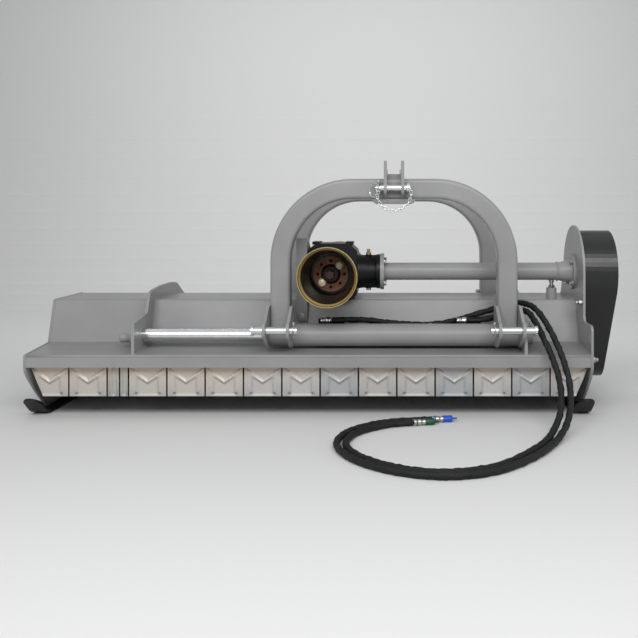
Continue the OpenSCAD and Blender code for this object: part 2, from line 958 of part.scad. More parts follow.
// Top link lugs hug the front and top of each arch, with a stop block between them
top_pin_y = -rail_y - arch_tube / 2 - 29;
top_nose = 30;
top_hole_z = arch_z + 38;
top_rise = 72;
module top_lug_outline() {
    face = -rail_y - arch_tube / 2;
    pin = [top_pin_y, top_pin_z];
    difference() {
        polygon(concat(
            arc(pin, top_nose, 140, 270),
            [
                [face, arch_z - arch_tube],
                [face, arch_z],
                [face + arch_tube, arch_z],
                [-rail_y + 22, arch_z + top_rise],
                [-rail_y - 26, arch_z + top_rise]
            ]
        ));
        for (p = [pin, [-rail_y - 6, top_hole_z]])
            translate(p)
                circle(d = top_pin_dia + 2 * pin_room);
    }
}
module top_lugs() {
    for (side = [-1, 1])
        along_x(car_x + side * (top_gap + lug_t) / 2 - lug_t / 2, lug_t)
            top_lug_outline();
    translate([car_x - top_gap / 2, -rail_y - 2, arch_z])
        cube([top_gap, 34, 20]);
}
module top_link_lugs() {
    color(paint) {
        top_lugs();
        mirror([0, 1, 0])
            top_lugs();
    }
}

// Plate under both arch tops that ties them together
tie_w = 170;
tie_t = 12;
module tie_plate() {
    reach = rail_y + arch_tube / 2;
    color(paint)
        translate([car_x - tie_w / 2, -reach, arch_z - arch_tube - tie_t])
            cube([tie_w, 2 * reach, tie_t]);
}

// Hitch pins with heads outside and cross holes for the lynch pins
pin_head = 10;
pin_tail = 28;
low_pin_reach = 45;
lynch_dia = 8;
top_lynch = 20;
lynch_hole = lynch_dia + 1;
low_in = leg_x - arch_tube / 2 - lug_t;
low_out = leg_x + arch_tube / 2 + lug_t;
top_in = top_gap / 2 + lug_t;
module low_pin() {
    x0 = low_in - pin_tail;
    x1 = low_out + low_pin_reach;
    difference() {
        union() {
            bar_x(x0, x1 - x0, -low_pin_y, low_pin_z, low_pin_dia);
            bar_x(x1 - pin_head, pin_head, -low_pin_y, low_pin_z, low_pin_dia + 10);
        }
        translate([low_in - pin_tail / 2, -low_pin_y, low_pin_z - low_pin_dia])
            cylinder(h = 2 * low_pin_dia, d = lynch_hole);
    }
}
module hitch_pins() {
    color(steel)
        translate([car_x, 0, 0]) {
            low_pin();
            mirror([1, 0, 0])
                low_pin();
            difference() {
                union() {
                    bar_x(-top_in - 32, 2 * top_in + 54, top_pin_y, top_pin_z, top_pin_dia);
                    bar_x(top_in + 10, 12, top_pin_y, top_pin_z, 2 * top_ring_r + lynch_wire);
                }
                translate([-top_in - top_lynch, top_pin_y, top_pin_z - top_pin_dia])
                    cylinder(h = 2 * top_pin_dia, d = lynch_hole);
            }
        }
}

// Lynch pin: a short bar through the hitch pin and a spring ring round it
lynch_wire = 5;
function lynch_r(d) = d / 2 + 5.5;
top_ring_r = lynch_r(top_pin_dia);
module lynch(x, y, z, d) {
    ring_r = lynch_r(d);
    translate([x, y, z]) {
        translate([0, 0, -ring_r - 6])
            cylinder(h = 2 * ring_r + 12, d = lynch_dia);
        translate([0, 0, ring_r + 6])
            cylinder(h = 8, d = lynch_dia + 7);
        rotate([0, 90, 0])
            rotate_extrude()
                translate([ring_r, 0])
                    circle(d = lynch_wire, $fn = 24);
    }
}
module lynch_pins() {
    color(steel) {
        for (side = [-1, 1])
            lynch(car_x + side * (low_in - pin_tail / 2), -low_pin_y, low_pin_z, low_pin_dia);
        lynch(car_x - top_in - top_lynch, top_pin_y, top_pin_z, top_pin_dia);
    }
}

// Chain that hangs in a round loop between the top pin's lynch pin and its head
link_wire = 3;
link_w = 11;
link_room = 0.8;
link_count = 18;
chain_room = 0.3;
chain_y = top_pin_y - top_ring_r - lynch_wire / 2 - link_w / 2 - chain_room;
chain_half = 62;
chain_sag = 92;
chain_top = top_pin_z + 2;
chain_r = (chain_half * chain_half + chain_sag * chain_sag) / (2 * chain_sag);
chain_turn = 180 - asin(chain_half / chain_r);
link_pitch = chain_r * 2 * chain_turn * PI / 180 / link_count;
function chain_at(t) =
    let (a = chain_turn * (2 * t - 1))
    [chain_r * sin(a), 0, chain_r * (1 - cos(a)) - chain_sag];
link_turns = 12;
link_sides = 6;
// One oval link, its wire swept round a stretched ring
module link(turn) {
    ring_r = (link_w - link_wire) / 2;
    half = (link_pitch + 2 * link_wire + link_room - 2 * ring_r) / 2;
    pts = [
        for (i = [0 : link_turns - 1], j = [0 : link_sides - 1])
            let (
                a = (i + 0.5) * 360 / link_turns,
                b = j * 360 / link_sides,
                out = [cos(a), sin(a), 0]
            )
            [half * sign(cos(a)), 0, link_wire / 2 * sin(b)] + (ring_r + link_wire / 2 * cos(b)) * out
    ];
    faces = [
        for (i = [0 : link_turns - 1], j = [0 : link_sides - 1])
            let (
                i2 = (i + 1) % link_turns,
                j2 = (j + 1) % link_sides,
                a = i * link_sides + j,
                b = i * link_sides + j2,
                c = i2 * link_sides + j2,
                d = i2 * link_sides + j
            )
            each [[a, b, c], [a, c, d]]
    ];
    rotate([turn, 0, 0])
        polyhedron(points = pts, faces = faces);
}
module pin_chain() {
    color(steel)
        translate([car_x, chain_y, chain_top])
            for (i = [0 : link_count - 1]) {
                a = chain_at(i / link_count);
                b = chain_at((i + 1) / link_count);
                translate((a + b) / 2)
                    rotate([0, -atan2(b[2] - a[2], b[0] - a[0]), 0])
                        link(i % 2 == 0 ? 0 : 90);
            }
}

// Side-shift cylinder barrel with its gland, ports and hose stubs
module cylinder_barrel() {
    color(dark)
        difference() {
            union() {
                bar_x(barrel_x, barrel_len, barrel_y, barrel_z, barrel_dia);
                for (p = port_x) {
                    translate([p, barrel_y, barrel_z])
                        cylinder(h = port_z - barrel_z + 9, d = 24);
                    bar_x(p, port_len, barrel_y, port_z, hose_dia - 5);
                }
            }
            bar_x(barrel_x + cap_len, barrel_len - cap_len - gland_len, barrel_y, barrel_z, barrel_bore);
            bar_x(barrel_x + cap_len, barrel_len, barrel_y, barrel_z, rod_dia + 2 * run);
        }
}

// Rotor tube with stub shafts and paired lugs in a spiral
rotor_gap = 20;
rotor_wall = 12;
end_disc = 25;
flail_turn = 105;
lug_gap = 30;
rotor_lug_t = 10;
rotor_lug_w = 36;
rotor_lug_sunk = 8;
rotor_lug_r = rotor_dia / 2 + 38;
flail_eye_r = rotor_dia / 2 + 25;
flail_bolt = 14;
rotor_x0 = in_left + rotor_gap;
rotor_len = cut_w - 2 * rotor_gap;
flail_step = (rotor_len - 100) / (flail_count - 1);
module at_flails() {
    for (i = [0 : flail_count - 1])
        translate([rotor_x0 + 50 + i * flail_step, rotor_y, rotor_z])
            rotate([i * flail_turn, 0, 0])
                children();
}
module rotor_tube() {
    stub_x0 = in_left - side_t - bear_len - 6;
    stub_x1 = pulley_x + pulley_w + 6;
    rotor_x1 = rotor_x0 + rotor_len;
    color(paint)
        difference() {
            union() {
                bar_x(rotor_x0, rotor_len, rotor_y, rotor_z, rotor_dia);
                bar_x(stub_x0, rotor_x0 + 1 - stub_x0, rotor_y, rotor_z, stub_dia);
                bar_x(rotor_x1 - 1, stub_x1 - rotor_x1 + 1, rotor_y, rotor_z, stub_dia);
                at_flails()
                    for (x = [-lug_gap / 2 - rotor_lug_t, lug_gap / 2])
                        translate([x, -rotor_lug_w / 2, rotor_dia / 2 - rotor_lug_sunk])
                            cube([rotor_lug_t, rotor_lug_w, rotor_lug_r - rotor_dia / 2 + rotor_lug_sunk]);
            }
            bar_x(
                rotor_x0 + end_disc, rotor_len - 2 * end_disc,
                rotor_y, rotor_z, rotor_dia - 2 * rotor_wall
            );
            at_flails()
                bar_x(-lug_gap, 2 * lug_gap, 0, flail_eye_r, flail_bolt + 2 * seat);
        }
}

// Hammer flails on their bolts
module flails() {
    half_w = 30;
    half_t = 17;
    pin_out = 9;
    pin_len = lug_gap + 2 * (rotor_lug_t + pin_out);
    head_z = rotor_lug_r + 4;
    tip_z = sqrt(tip_r * tip_r - half_t * half_t);
    color(dark)
        at_flails() {
            bar_x(-pin_len / 2, pin_len, 0, flail_eye_r, flail_bolt);
            bar_x(-lug_gap / 2 + 1, lug_gap - 2, 0, flail_eye_r, 32);
            translate([-lug_gap / 2 + 1, -half_t + 4, flail_eye_r])
                cube([lug_gap - 2, 2 * half_t - 8, head_z - flail_eye_r + 1]);
            translate([0, half_t, 0])
                rotate([90, 0, 0])
                    linear_extrude(2 * half_t)
                        polygon([
                            [-half_w + 10, head_z],
                            [half_w - 10, head_z],
                            [half_w, tip_z - 14],
                            [half_w, tip_z],
                            [-half_w, tip_z],
                            [-half_w, tip_z - 14]
                        ]);
        }
}

module rotor_pulley() {
    color(dark)
        turned_x(pulley_x, rotor_y, rotor_z)
            pulley_profile(small_r, stub_dia / 2 + seat);
}

module drive_pulley() {
    color(dark)
        turned_x(pulley_x, axis_y, axis_z)
            pulley_profile(pulley_r, drive_dia / 2 + seat);
}

module drive_shaft() {
    x0 = box_x + pto_body + 2;
    color(steel)
        bar_x(x0, pulley_x + pulley_w + 6 - x0, axis_y, axis_z, drive_dia);
}

// Through shaft with splined ends, and the driving flange behind the front end
spline_n = 6;
spline_len = 70;
pto_half = 225;
disc_y = axis_y - 166;
disc_t = 12;
disc_dia = 144;
module pto_shaft() {
    color(steel)
        difference() {
            union() {
                bar_y(box_x, axis_y - pto_half, 2 * pto_half, axis_z, pto_dia);
                bar_y(box_x, axis_y - box_d / 2 - 30, box_d + 60, axis_z, pto_body);
            }
            for (i = [0 : spline_n - 1], y = [axis_y - pto_half - 1, axis_y + pto_half - spline_len])
                translate([box_x, y, axis_z])
                    rotate([0, (i + 0.5) * 360 / spline_n, 0])
                        translate([-4, 0, pto_dia / 2 - 3])
                            cube([8, spline_len + 1, 6]);
        }
}
module flange_disc() {
    color("#5b4030")
        difference() {
            union() {
                bar_y(box_x, disc_y, disc_t, axis_z, disc_dia);
                bar_y(box_x, disc_y - 14, disc_t + 34, axis_z, 62);
                for (a = [45, 225])
                    translate([box_x + 48 * cos(a), disc_y, axis_z + 48 * sin(a)])
                        rotate([90, 0, 0])
                            bolt_head(14);
            }
            bar_y(box_x, disc_y - 20, disc_t + 60, axis_z, pto_dia + 2 * seat);
            for (a = [0, 90, 135, 180, 270, 315])
                bar_y(box_x + 54 * cos(a), disc_y - 1, disc_t + 2, axis_z + 54 * sin(a), 12);
        }
}

// Hollow roller drum with stub axles
roller_wall = 6;
module roller() {
    drum_x0 = in_left + bracket_t + 4;
    drum_len = cut_w - 2 * bracket_t - 8;
    color(paint)
        difference() {
            union() {
                bar_x(drum_x0, drum_len, roller_y, roller_z, roller_dia);
                bar_x(in_left + 1, cut_w - 2, roller_y, roller_z, roller_stub);
            }
            bar_x(
                drum_x0 + end_disc, drum_len - 2 * end_disc,
                roller_y, roller_z, roller_dia - 2 * roller_wall
            );
        }
}

// Front flaps: pressed plates that hang on the rod by a rolled eye
flap_count = flaps_full + 2;
flap_end = 3;
full_w = (cut_w - 2 * flap_end - narrow_a - narrow_b - (flap_count - 1) * flap_gap) / flaps_full;
eye_r = flap_rod_dia / 2 + flap_t;
ridge_d = 20;
ridge_in = 4;
function flap_w(i) = i == flaps_left ? narrow_a : i == flaps_left + 1 ? narrow_b : full_w;
function flap_x(i) = i == 0 ? in_left + flap_end : flap_x(i - 1) + flap_w(i - 1) + flap_gap;
function flap_name(i) = str("flap_", i < 9 ? "0" : "", i + 1);

// Raised crease between two points of a flap's face, given across and down from the rod
module crease(p, q) {
    v = q - p;
    translate([p[0], 0, -p[1]])
        rotate([0, atan2(v[0], -v[1]), 0])
            cylinder(h = norm(v), d = ridge_d, $fn = 24);
}
module flap(i) {
    w = flap_w(i);
    drop = flap_rod_z - flap_z;
    wide = w == full_w;
    trim = 46;
    color(zinc)
        translate([flap_x(i), flap_y, flap_rod_z])
            difference() {
                union() {
                    bar_x(0, w, 0, 0, 2 * eye_r);
                    translate([0, -flap_t / 2, -drop])
                        cube([w, flap_t, drop - flap_rod_dia / 2 - 1]);
                    if (wide)
                        translate([0, ridge_in, 0])
                            intersection() {
                                union() {
                                    crease([0.12 * w, 18], [0.5 * w, 66]);
                                    crease([0.88 * w, 18], [0.5 * w, 66]);
                                    crease([0.2 * w, 58], [0.2 * w, drop - 14]);
                                    crease([0.8 * w, 58], [0.8 * w, drop - 14]);
                                }
                                translate([0, -ridge_d, -drop])
                                    cube([w, ridge_d - ridge_in, drop]);
                            }
                }
                bar_x(-1, w + 2, 0, 0, flap_rod_dia + 2 * run);
                if (i == 0)
                    translate([0, ridge_d, 0])
                        rotate([90, 0, 0])
                            linear_extrude(2 * ridge_d)
                                polygon([[-1, -18], [-1, -drop - 1], [trim, -drop - 1], [0, -18]]);
                if (i == flap_count - 1)
                    translate([w, ridge_d, 0])
                        rotate([90, 0, 0])
                            linear_extrude(2 * ridge_d)
                                polygon([[1, -18], [1, -drop - 1], [-trim, -drop - 1], [0, -18]]);
            }
}

// Hose routes, from the cylinder ports over the deck to the ground in front, with X from the right rib
function from_rib(route) = [for (p = route) p + [rib_right_x, 0, 0]];
hose_one_route = from_rib([
    [port_x[0] + port_len - rib_right_x, barrel_y, port_z],
    [-650, -238, 364],
    [-500, -214, 346],
    [-365, -203, 340],
    [-255, -206, 358],
    [-175, -216, 384],
    [-100, -231, 408],
    [-40, -243, 428],
    [8, -272, 436],
    [47, -320, 426],
    [76, -382, 388],
    [102, -450, 330],
    [128, -515, 250],
    [140, -585, 160],
    [118, -678, 74],
    [58, -785, 20],
    [-55, -975, 13.5],
    [-200, -1130, 13],
    [-360, -1182, 13],
    [-520, -1130, 13],
    [-650, -1000, 13],
    [-712, -830, 13],
    [-675, -660, 13],
    [-550, -535, 13],
    [-370, -488, 13]
]);
hose_two_route = from_rib([
    [port_x[1] + port_len - rib_right_x, barrel_y, port_z],
    [-145, -245, 365],
    [-85, -250, 382],
    [-32, -263, 402],
    [6, -291, 409],
    [30, -333, 401],
    [49, -390, 366],
    [68, -452, 314],
    [92, -515, 243],
    [105, -582, 160],
    [85, -675, 80],
    [25, -783, 22],
    [-71, -938, 13.5],
    [-202, -1092, 13],
    [-360, -1150, 13],
    [-502, -1104, 13],
    [-622, -986, 13],
    [-680, -834, 13],
    [-648, -680, 13],
    [-540, -568, 13],
    [-440, -535, 13]
]);

// Point at parameter u of the smooth curve through a route
function route_at(route, u) =
    let (
        last = len(route) - 1,
        i = min(floor(u), last - 1),
        t = u - i,
        p0 = route[max(i - 1, 0)],
        p1 = route[i],
        p2 = route[i + 1],
        p3 = route[min(i + 2, last)]
    )
    0.5 * (2 * p1 + (p2 - p0) * t + (2 * p0 - 5 * p1 + 4 * p2 - p3) * t * t
        + (3 * p1 - p0 - 3 * p2 + p3) * t * t * t);
function directions(pts) = [
    for (i = [0 : len(pts) - 1])
        unit(pts[min(i + 1, len(pts) - 1)] - pts[max(i - 1, 0)])
];
function across(v, t) = unit(v - t * (v * t));

hose_sides = 10;
hose_steps = 2;
// Round tube swept along a route, its rings carried along without twist
module hose(route, start) {
    pts = [for (k = [0 : hose_steps * (len(route) - 1)]) route_at(route, k / hose_steps)];
    n = len(pts);
    ways = [for (i = [0 : n - 1]) i == 0 ? start : directions(pts)[i]];
    ups = [
        for (i = 0, v = across([0, 0, 1], ways[0]); i < n;
            i = i + 1, v = across(v, ways[min(i, n - 1)])) v
    ];
    rings = [
        for (i = [0 : n - 1], s = [0 : hose_sides - 1])
            let (a = s * 360 / hose_sides, side = cross(ways[i], ups[i]))
            pts[i] + hose_dia / 2 * (cos(a) * ups[i] + sin(a) * side)
    ];
    walls = [
        for (i = [0 : n - 2], s = [0 : hose_sides - 1])
            let (
                a = i * hose_sides + s,
                b = i * hose_sides + (s + 1) % hose_sides
            )
            each [[a, b, b + hose_sides], [a, b + hose_sides, a + hose_sides]]
    ];
    ends = [
        for (s = [1 : hose_sides - 2])
            let (last = (n - 1) * hose_sides)
            each [[0, s + 1, s], [last, last + s, last + s + 1]]
    ];
    polyhedron(points = rings, faces = concat(walls, ends));
}

module hose_one() {
    color("#17181a")
        hose(hose_one_route, [1, 0, 0]);
}
module hose_two() {
    color("#17181a")
        hose(hose_two_route, [1, 0, 0]);
}

// Quick coupling with a dust cap, in line with the end of a hose
coupling_len = 48;
cap_dia = 25;
module coupling(route, tint) {
    last = len(route) - 1;
    way = unit(route[last] - route_at(route, last - 0.5));
    translate(route[last])
        rotate([0, 0, atan2(way[1], way[0])]) {
            color(steel) {
                bar_x(0, 22, 0, 0, hose_dia - 2);
                bar_x(22, coupling_len - 22, 0, 0, hose_dia - 5);
            }
            color(tint) {
                bar_x(coupling_len, 34, 0, 0, cap_dia);
                bar_x(coupling_len + 34, 18, 0, 0, 10);
            }
        }
}
module coupling_blue() {
    coupling(hose_one_route, "#1f5fc0");
}
module coupling_green() {
    coupling(hose_two_route, "#1f7a45");
}

deck_shell();
side_plate_left();
side_plate_right();
rail_brackets();
slide_rails();
rail_collars();
flap_rod();
skids();
roller_brackets();
rear_curtain();
rotor_bearings();
gearbox_housing();
gearbox_plugs();
gearbox_support();
pto_guards();
drive_tube();
tube_support();
belt_guard();
v_belts();
cylinder_rod();
deck_bolts();
carriage_tubes();
front_arch();
rear_arch();
lower_link_lugs();
top_link_lugs();
tie_plate();
hitch_pins();
lynch_pins();
pin_chain();
cylinder_barrel();
hose_one();
hose_two();
coupling_blue();
coupling_green();
rotor_tube();
flails();
rotor_pulley();
drive_shaft();
drive_pulley();
pto_shaft();
flange_disc();
roller();
for (i = [0 : flap_count - 1])
    flap(i);
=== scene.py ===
import json
import math

import bmesh
import bpy
import numpy as np
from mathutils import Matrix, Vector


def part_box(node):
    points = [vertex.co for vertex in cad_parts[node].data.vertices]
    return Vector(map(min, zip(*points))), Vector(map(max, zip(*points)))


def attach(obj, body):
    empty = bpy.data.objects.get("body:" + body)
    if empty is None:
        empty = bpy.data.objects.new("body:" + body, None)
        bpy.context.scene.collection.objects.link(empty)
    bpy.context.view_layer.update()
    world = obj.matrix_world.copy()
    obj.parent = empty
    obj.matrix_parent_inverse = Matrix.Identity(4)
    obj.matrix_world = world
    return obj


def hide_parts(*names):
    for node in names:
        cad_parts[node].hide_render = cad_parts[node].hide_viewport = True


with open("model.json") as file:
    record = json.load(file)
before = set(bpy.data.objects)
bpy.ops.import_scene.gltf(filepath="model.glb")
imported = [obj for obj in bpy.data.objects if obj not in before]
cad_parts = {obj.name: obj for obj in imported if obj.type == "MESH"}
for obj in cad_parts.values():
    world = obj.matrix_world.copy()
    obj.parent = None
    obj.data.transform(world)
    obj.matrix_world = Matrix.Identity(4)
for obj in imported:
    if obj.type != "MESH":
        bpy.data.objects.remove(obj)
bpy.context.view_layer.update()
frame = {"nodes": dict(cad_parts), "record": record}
nodes = frame["nodes"]
scene = bpy.context.scene
scene.view_settings.view_transform = "Standard"
print("frame loaded:", len(nodes), "nodes")

# camera: level, looking along +Y, the frame slid by the lens shift
cameraView = {
    "place": (0.2775, -3.696, 0.797),
    "sensor": 36.0,
    "lens": 47.2,
    "shift": (-0.1144, -0.1630),
    "clipEnd": 60,
}


def makeCamera(v):
    data = bpy.data.cameras.new("frontCamera")
    data.sensor_width = v["sensor"]
    data.lens = v["lens"]
    data.shift_x, data.shift_y = v["shift"]
    data.clip_end = v["clipEnd"]
    cam = bpy.data.objects.new("frontCamera", data)
    cam.location = v["place"]
    cam.rotation_euler = (math.pi / 2, 0, 0)
    scene.collection.objects.link(cam)
    scene.camera = cam


makeCamera(cameraView)
print("camera set")


# faces of a grid of rows x cols points, either way closed into a loop
def gridFaces(rows, cols, loopRows=False, loopCols=True):
    r = np.arange(rows if loopRows else rows - 1)
    c = np.arange(cols if loopCols else cols - 1)
    i, j = (a.ravel() for a in np.meshgrid(r, c, indexing="ij"))
    i2, j2 = (i + 1) % rows, (j + 1) % cols
    return np.stack([i * cols + j, i * cols + j2, i2 * cols + j2, i2 * cols + j], 1)


# puts points and faces in a mesh object at the origin and lets it ride on a body
def makePiece(name, points, faces, finish, body, uv=None, smooth=True, weld=False):
    mesh = bpy.data.meshes.new(name)
    mesh.from_pydata(np.asarray(points).tolist(), [], [list(map(int, f)) for f in faces])
    turn = bmesh.new()  # every shell is closed, so its faces can be turned outwards
    turn.from_mesh(mesh)
    if weld:
        bmesh.ops.remove_doubles(turn, verts=turn.verts[:], dist=1e-6)
    bmesh.ops.recalc_face_normals(turn, faces=turn.faces[:])
    turn.to_mesh(mesh)
    turn.free()
    if uv is not None:
        layer = mesh.uv_layers.new(name="along")
        corner = np.zeros(len(mesh.loops), np.int32)
        mesh.loops.foreach_get("vertex_index", corner)
        first = np.zeros(len(mesh.polygons), np.int32)
        mesh.polygons.foreach_get("loop_start", first)
        flat = np.asarray(uv, np.float32)[corner]
        wide = np.maximum.reduceat(flat[:, 1], first) - np.minimum.reduceat(flat[:, 1], first) > 0.5
        wide = np.repeat(wide, np.diff(np.append(first, len(flat))))
        flat[wide & (flat[:, 1] < 0.5), 1] += 1  # the face across the seam runs on past one
        layer.data.foreach_set("uv", flat.ravel())
    mesh.polygons.foreach_set("use_smooth", np.full(len(mesh.polygons), smooth))
    mesh.materials.append(finish)
    piece = bpy.data.objects.new(name, mesh)
    scene.collection.objects.link(piece)
    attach(piece, body)
    return piece


# several point-and-face sets joined into one
def joined(shapes):
    points, faces, base = [], [], 0
    for p, f in shapes:
        p = np.asarray(p, float).reshape(-1, 3)
        points.append(p)
        faces += [[int(k) + base for k in face] for face in f]
        base += len(p)
    return np.concatenate(points), faces


# two unit vectors at right angles to the path at each of its points, carried along without twist
def carriedFrames(path, start=(0.0, 0.0, 1.0)):
    way = np.gradient(path, axis=0)
    way /= np.linalg.norm(way, axis=1, keepdims=True)
    up = np.empty_like(path)
    v = np.asarray(start, float)
    for k in range(len(path)):
        v = v - way[k] * (v @ way[k])
        v = v / np.linalg.norm(v)
        up[k] = v
    return up, np.cross(way, up)


# round tube: each path point carries a ring, of one radius, one for each point or one for each point and
# side; a point closes each end
def tubeAlong(path, radius, sides, start=(0.0, 0.0, 1.0)):
    path = np.asarray(path, float)
    up, side = carriedFrames(path, start)
    a = np.linspace(0, 2 * np.pi, sides, endpoint=False)
    radius = np.asarray(radius, float)
    radius = np.broadcast_to(radius if radius.ndim == 2 else radius.reshape(-1, 1), (len(path), sides))
    ring = np.cos(a)[None, :, None] * up[:, None] + np.sin(a)[None, :, None] * side[:, None]
    points = (path[:, None] + radius[..., None] * ring).reshape(-1, 3)
    n, k = len(points), np.arange(sides)
    after, last = (k + 1) % sides, n - sides
    faces = gridFaces(len(path), sides)[:, ::-1].tolist()
    faces += np.stack([k, after, np.full(sides, n)], 1).tolist()
    faces += np.stack([last + after, last + k, np.full(sides, n + 1)], 1).tolist()
    return np.concatenate([points, path[:1], path[-1:]]), faces


# profile of (radius, height) pairs turned round an axis through a centre; a loop comes back to its first
# pair, any other profile starts and ends on the axis
def turned(profile, centre, axis, sides, loop=False):
    profile = np.asarray(profile, float)
    axis = np.asarray(axis, float) / np.linalg.norm(axis)
    first = np.cross(axis, (0.0, 0.0, 1.0) if abs(axis[2]) < 0.9 else (1.0, 0.0, 0.0))
    first /= np.linalg.norm(first)
    second = np.cross(axis, first)
    a = np.linspace(0, 2 * np.pi, sides, endpoint=False)
    ring = np.cos(a)[:, None] * first + np.sin(a)[:, None] * second
    points = np.asarray(centre) + profile[:, 1, None, None] * axis + profile[:, 0, None, None] * ring[None]
    return points.reshape(-1, 3), gridFaces(len(profile), sides, loopRows=loop).tolist()


# 0 below low, 1 above high, an S curve between
def softStep(x, low, high):
    t = np.clip((x - low) / (high - low), 0, 1)
    return t * t * (3 - 2 * t)


# smooth curve through points: cubic blend of four neighbours at each step
def smoothRoute(points, steps):
    p = np.asarray(points, float)
    p = np.concatenate([p[:1], p, p[-1:]])
    t = (np.arange(steps) / steps)[None, :, None]
    a, b, c, d = p[:-3, None], p[1:-2, None], p[2:-1, None], p[3:, None]
    curve = 0.5 * (2 * b + (c - a) * t + (2 * a - 5 * b + 4 * c - d) * t**2 + (3 * b - a - 3 * c + d) * t**3)
    return np.concatenate([curve.reshape(-1, 3), p[-1:]])


# length run along a path at each of its points
def runAlong(path):
    return np.concatenate([[0], np.cumsum(np.linalg.norm(np.diff(path, axis=0), axis=1))])


# shader node with its settings and the values of its inputs
def addNode(tree, kind, values=None, **settings):
    node = tree.nodes.new(kind)
    for key, value in settings.items():
        setattr(node, key, value)
    for key, value in (values or {}).items():
        node.inputs[key].default_value = value
    return node


# node group with inputs of (name, kind, value) and outputs of (name, kind)
def newGroup(name, ins, outs):
    group = bpy.data.node_groups.new(name, "ShaderNodeTree")
    for label, kind, start in ins:
        socket = group.interface.new_socket(label, in_out="INPUT", socket_type="NodeSocket" + kind)
        socket.default_value = start
    for label, kind in outs:
        group.interface.new_socket(label, in_out="OUTPUT", socket_type="NodeSocket" + kind)
    return group, group.nodes.new("NodeGroupInput"), group.nodes.new("NodeGroupOutput")


# screen colour from 0 to 255 made linear, with full alpha
def rgb(r, g, b):
    c = np.array([r, g, b]) / 255
    return (*np.where(c <= 0.04045, c / 12.92, ((c + 0.055) / 1.055) ** 2.4), 1.0)


# cloudy noise from 0 to 1 on coordinates, scale in waves per metre
def noiseOn(tree, coords, scale, detail=4, rough=0.55):
    n = addNode(tree, "ShaderNodeTexNoise", {"Scale": scale, "Detail": detail, "Roughness": rough})
    tree.links.new(coords, n.inputs["Vector"])
    return n.outputs["Fac"]


# value carried from one range to another and held at its ends
def ranged(tree, value, low, high, toLow=0.0, toHigh=1.0):
    ends = {"From Min": low, "From Max": high, "To Min": toLow, "To Max": toHigh}
    n = addNode(tree, "ShaderNodeMapRange", ends)
    tree.links.new(value, n.inputs["Value"])
    return n.outputs["Result"]


# one sum on two numbers or outputs
def maths(tree, how, a, b=0.0):
    n = addNode(tree, "ShaderNodeMath", operation=how)
    for k, v in enumerate((a, b)):
        if isinstance(v, (int, float)):
            n.inputs[k].default_value = v
        else:
            tree.links.new(v, n.inputs[k])
    return n.outputs[0]


# how far two values are apart
def apart(tree, a, b):
    return maths(tree, "ABSOLUTE", maths(tree, "SUBTRACT", a, b))


# colour a where the mask is 0, colour b where it is 1
def mixed(tree, mask, a, b):
    n = addNode(tree, "ShaderNodeMix", data_type="RGBA")
    tree.links.new(mask, n.inputs[0])
    for k, v in ((6, a), (7, b)):  # of a colour mix, inputs 6 and 7 are the colours and output 2 the result
        if isinstance(v, tuple):
            n.inputs[k].default_value = v
        else:
            tree.links.new(v, n.inputs[k])
    return n.outputs[2]


surfaceOuts = [("Color", "Color"), ("Roughness", "Float"), ("Height", "Float")]


# sprayed paint: broad shade patches, settled dust where a rougher noise is high, and a fine orange peel
def buildPaintGroup():
    g, inp, out = newGroup(
        "sprayedCoat",
        [("Base", "Color", rgb(150, 150, 150)), ("Shade", "Color", rgb(130, 130, 130)),
         ("Dust", "Color", rgb(170, 160, 145)), ("Dust Amount", "Float", 0.3), ("Gloss", "Float", 0.35)],
        surfaceOuts,
    )
    at = addNode(g, "ShaderNodeTexCoord").outputs["Object"]
    patches = ranged(g, noiseOn(g, at, 2.6, 5), 0.36, 0.66)
    dusty = ranged(g, noiseOn(g, at, 7.5, 9, 0.68), 0.54, 0.76)
    dusty = maths(g, "MULTIPLY", dusty, inp.outputs["Dust Amount"])
    coat = mixed(g, patches, inp.outputs["Base"], inp.outputs["Shade"])
    g.links.new(mixed(g, dusty, coat, inp.outputs["Dust"]), out.inputs["Color"])
    rough = maths(g, "ADD", inp.outputs["Gloss"], maths(g, "MULTIPLY", noiseOn(g, at, 34, 6), 0.12))
    g.links.new(maths(g, "ADD", rough, maths(g, "MULTIPLY", dusty, 0.4)), out.inputs["Roughness"])
    g.links.new(noiseOn(g, at, 520, 2), out.inputs["Height"])
    return g


# drawn or turned metal: noise pulled long along one way, with soft grey patches
def buildMetalGroup():
    g, inp, out = newGroup(
        "drawnMetal",
        [("Base", "Color", rgb(200, 200, 200)), ("Shade", "Color", rgb(150, 150, 150)),
         ("Stretch", "Vector", (1, 1, 1)), ("Gloss", "Float", 0.2)],
        surfaceOuts,
    )
    at = addNode(g, "ShaderNodeTexCoord").outputs["Object"]
    pull = addNode(g, "ShaderNodeVectorMath", operation="MULTIPLY")
    g.links.new(at, pull.inputs[0])
    g.links.new(inp.outputs["Stretch"], pull.inputs[1])
    streak = noiseOn(g, pull.outputs[0], 60, 6, 0.6)
    patch = ranged(g, noiseOn(g, at, 14, 5), 0.4, 0.7)
    mask = maths(g, "MULTIPLY", maths(g, "ADD", streak, patch), 0.5)
    g.links.new(mixed(g, mask, inp.outputs["Base"], inp.outputs["Shade"]), out.inputs["Color"])
    rough = maths(g, "ADD", inp.outputs["Gloss"], maths(g, "MULTIPLY", mask, 0.2))
    g.links.new(rough, out.inputs["Roughness"])
    g.links.new(streak, out.inputs["Height"])
    return g


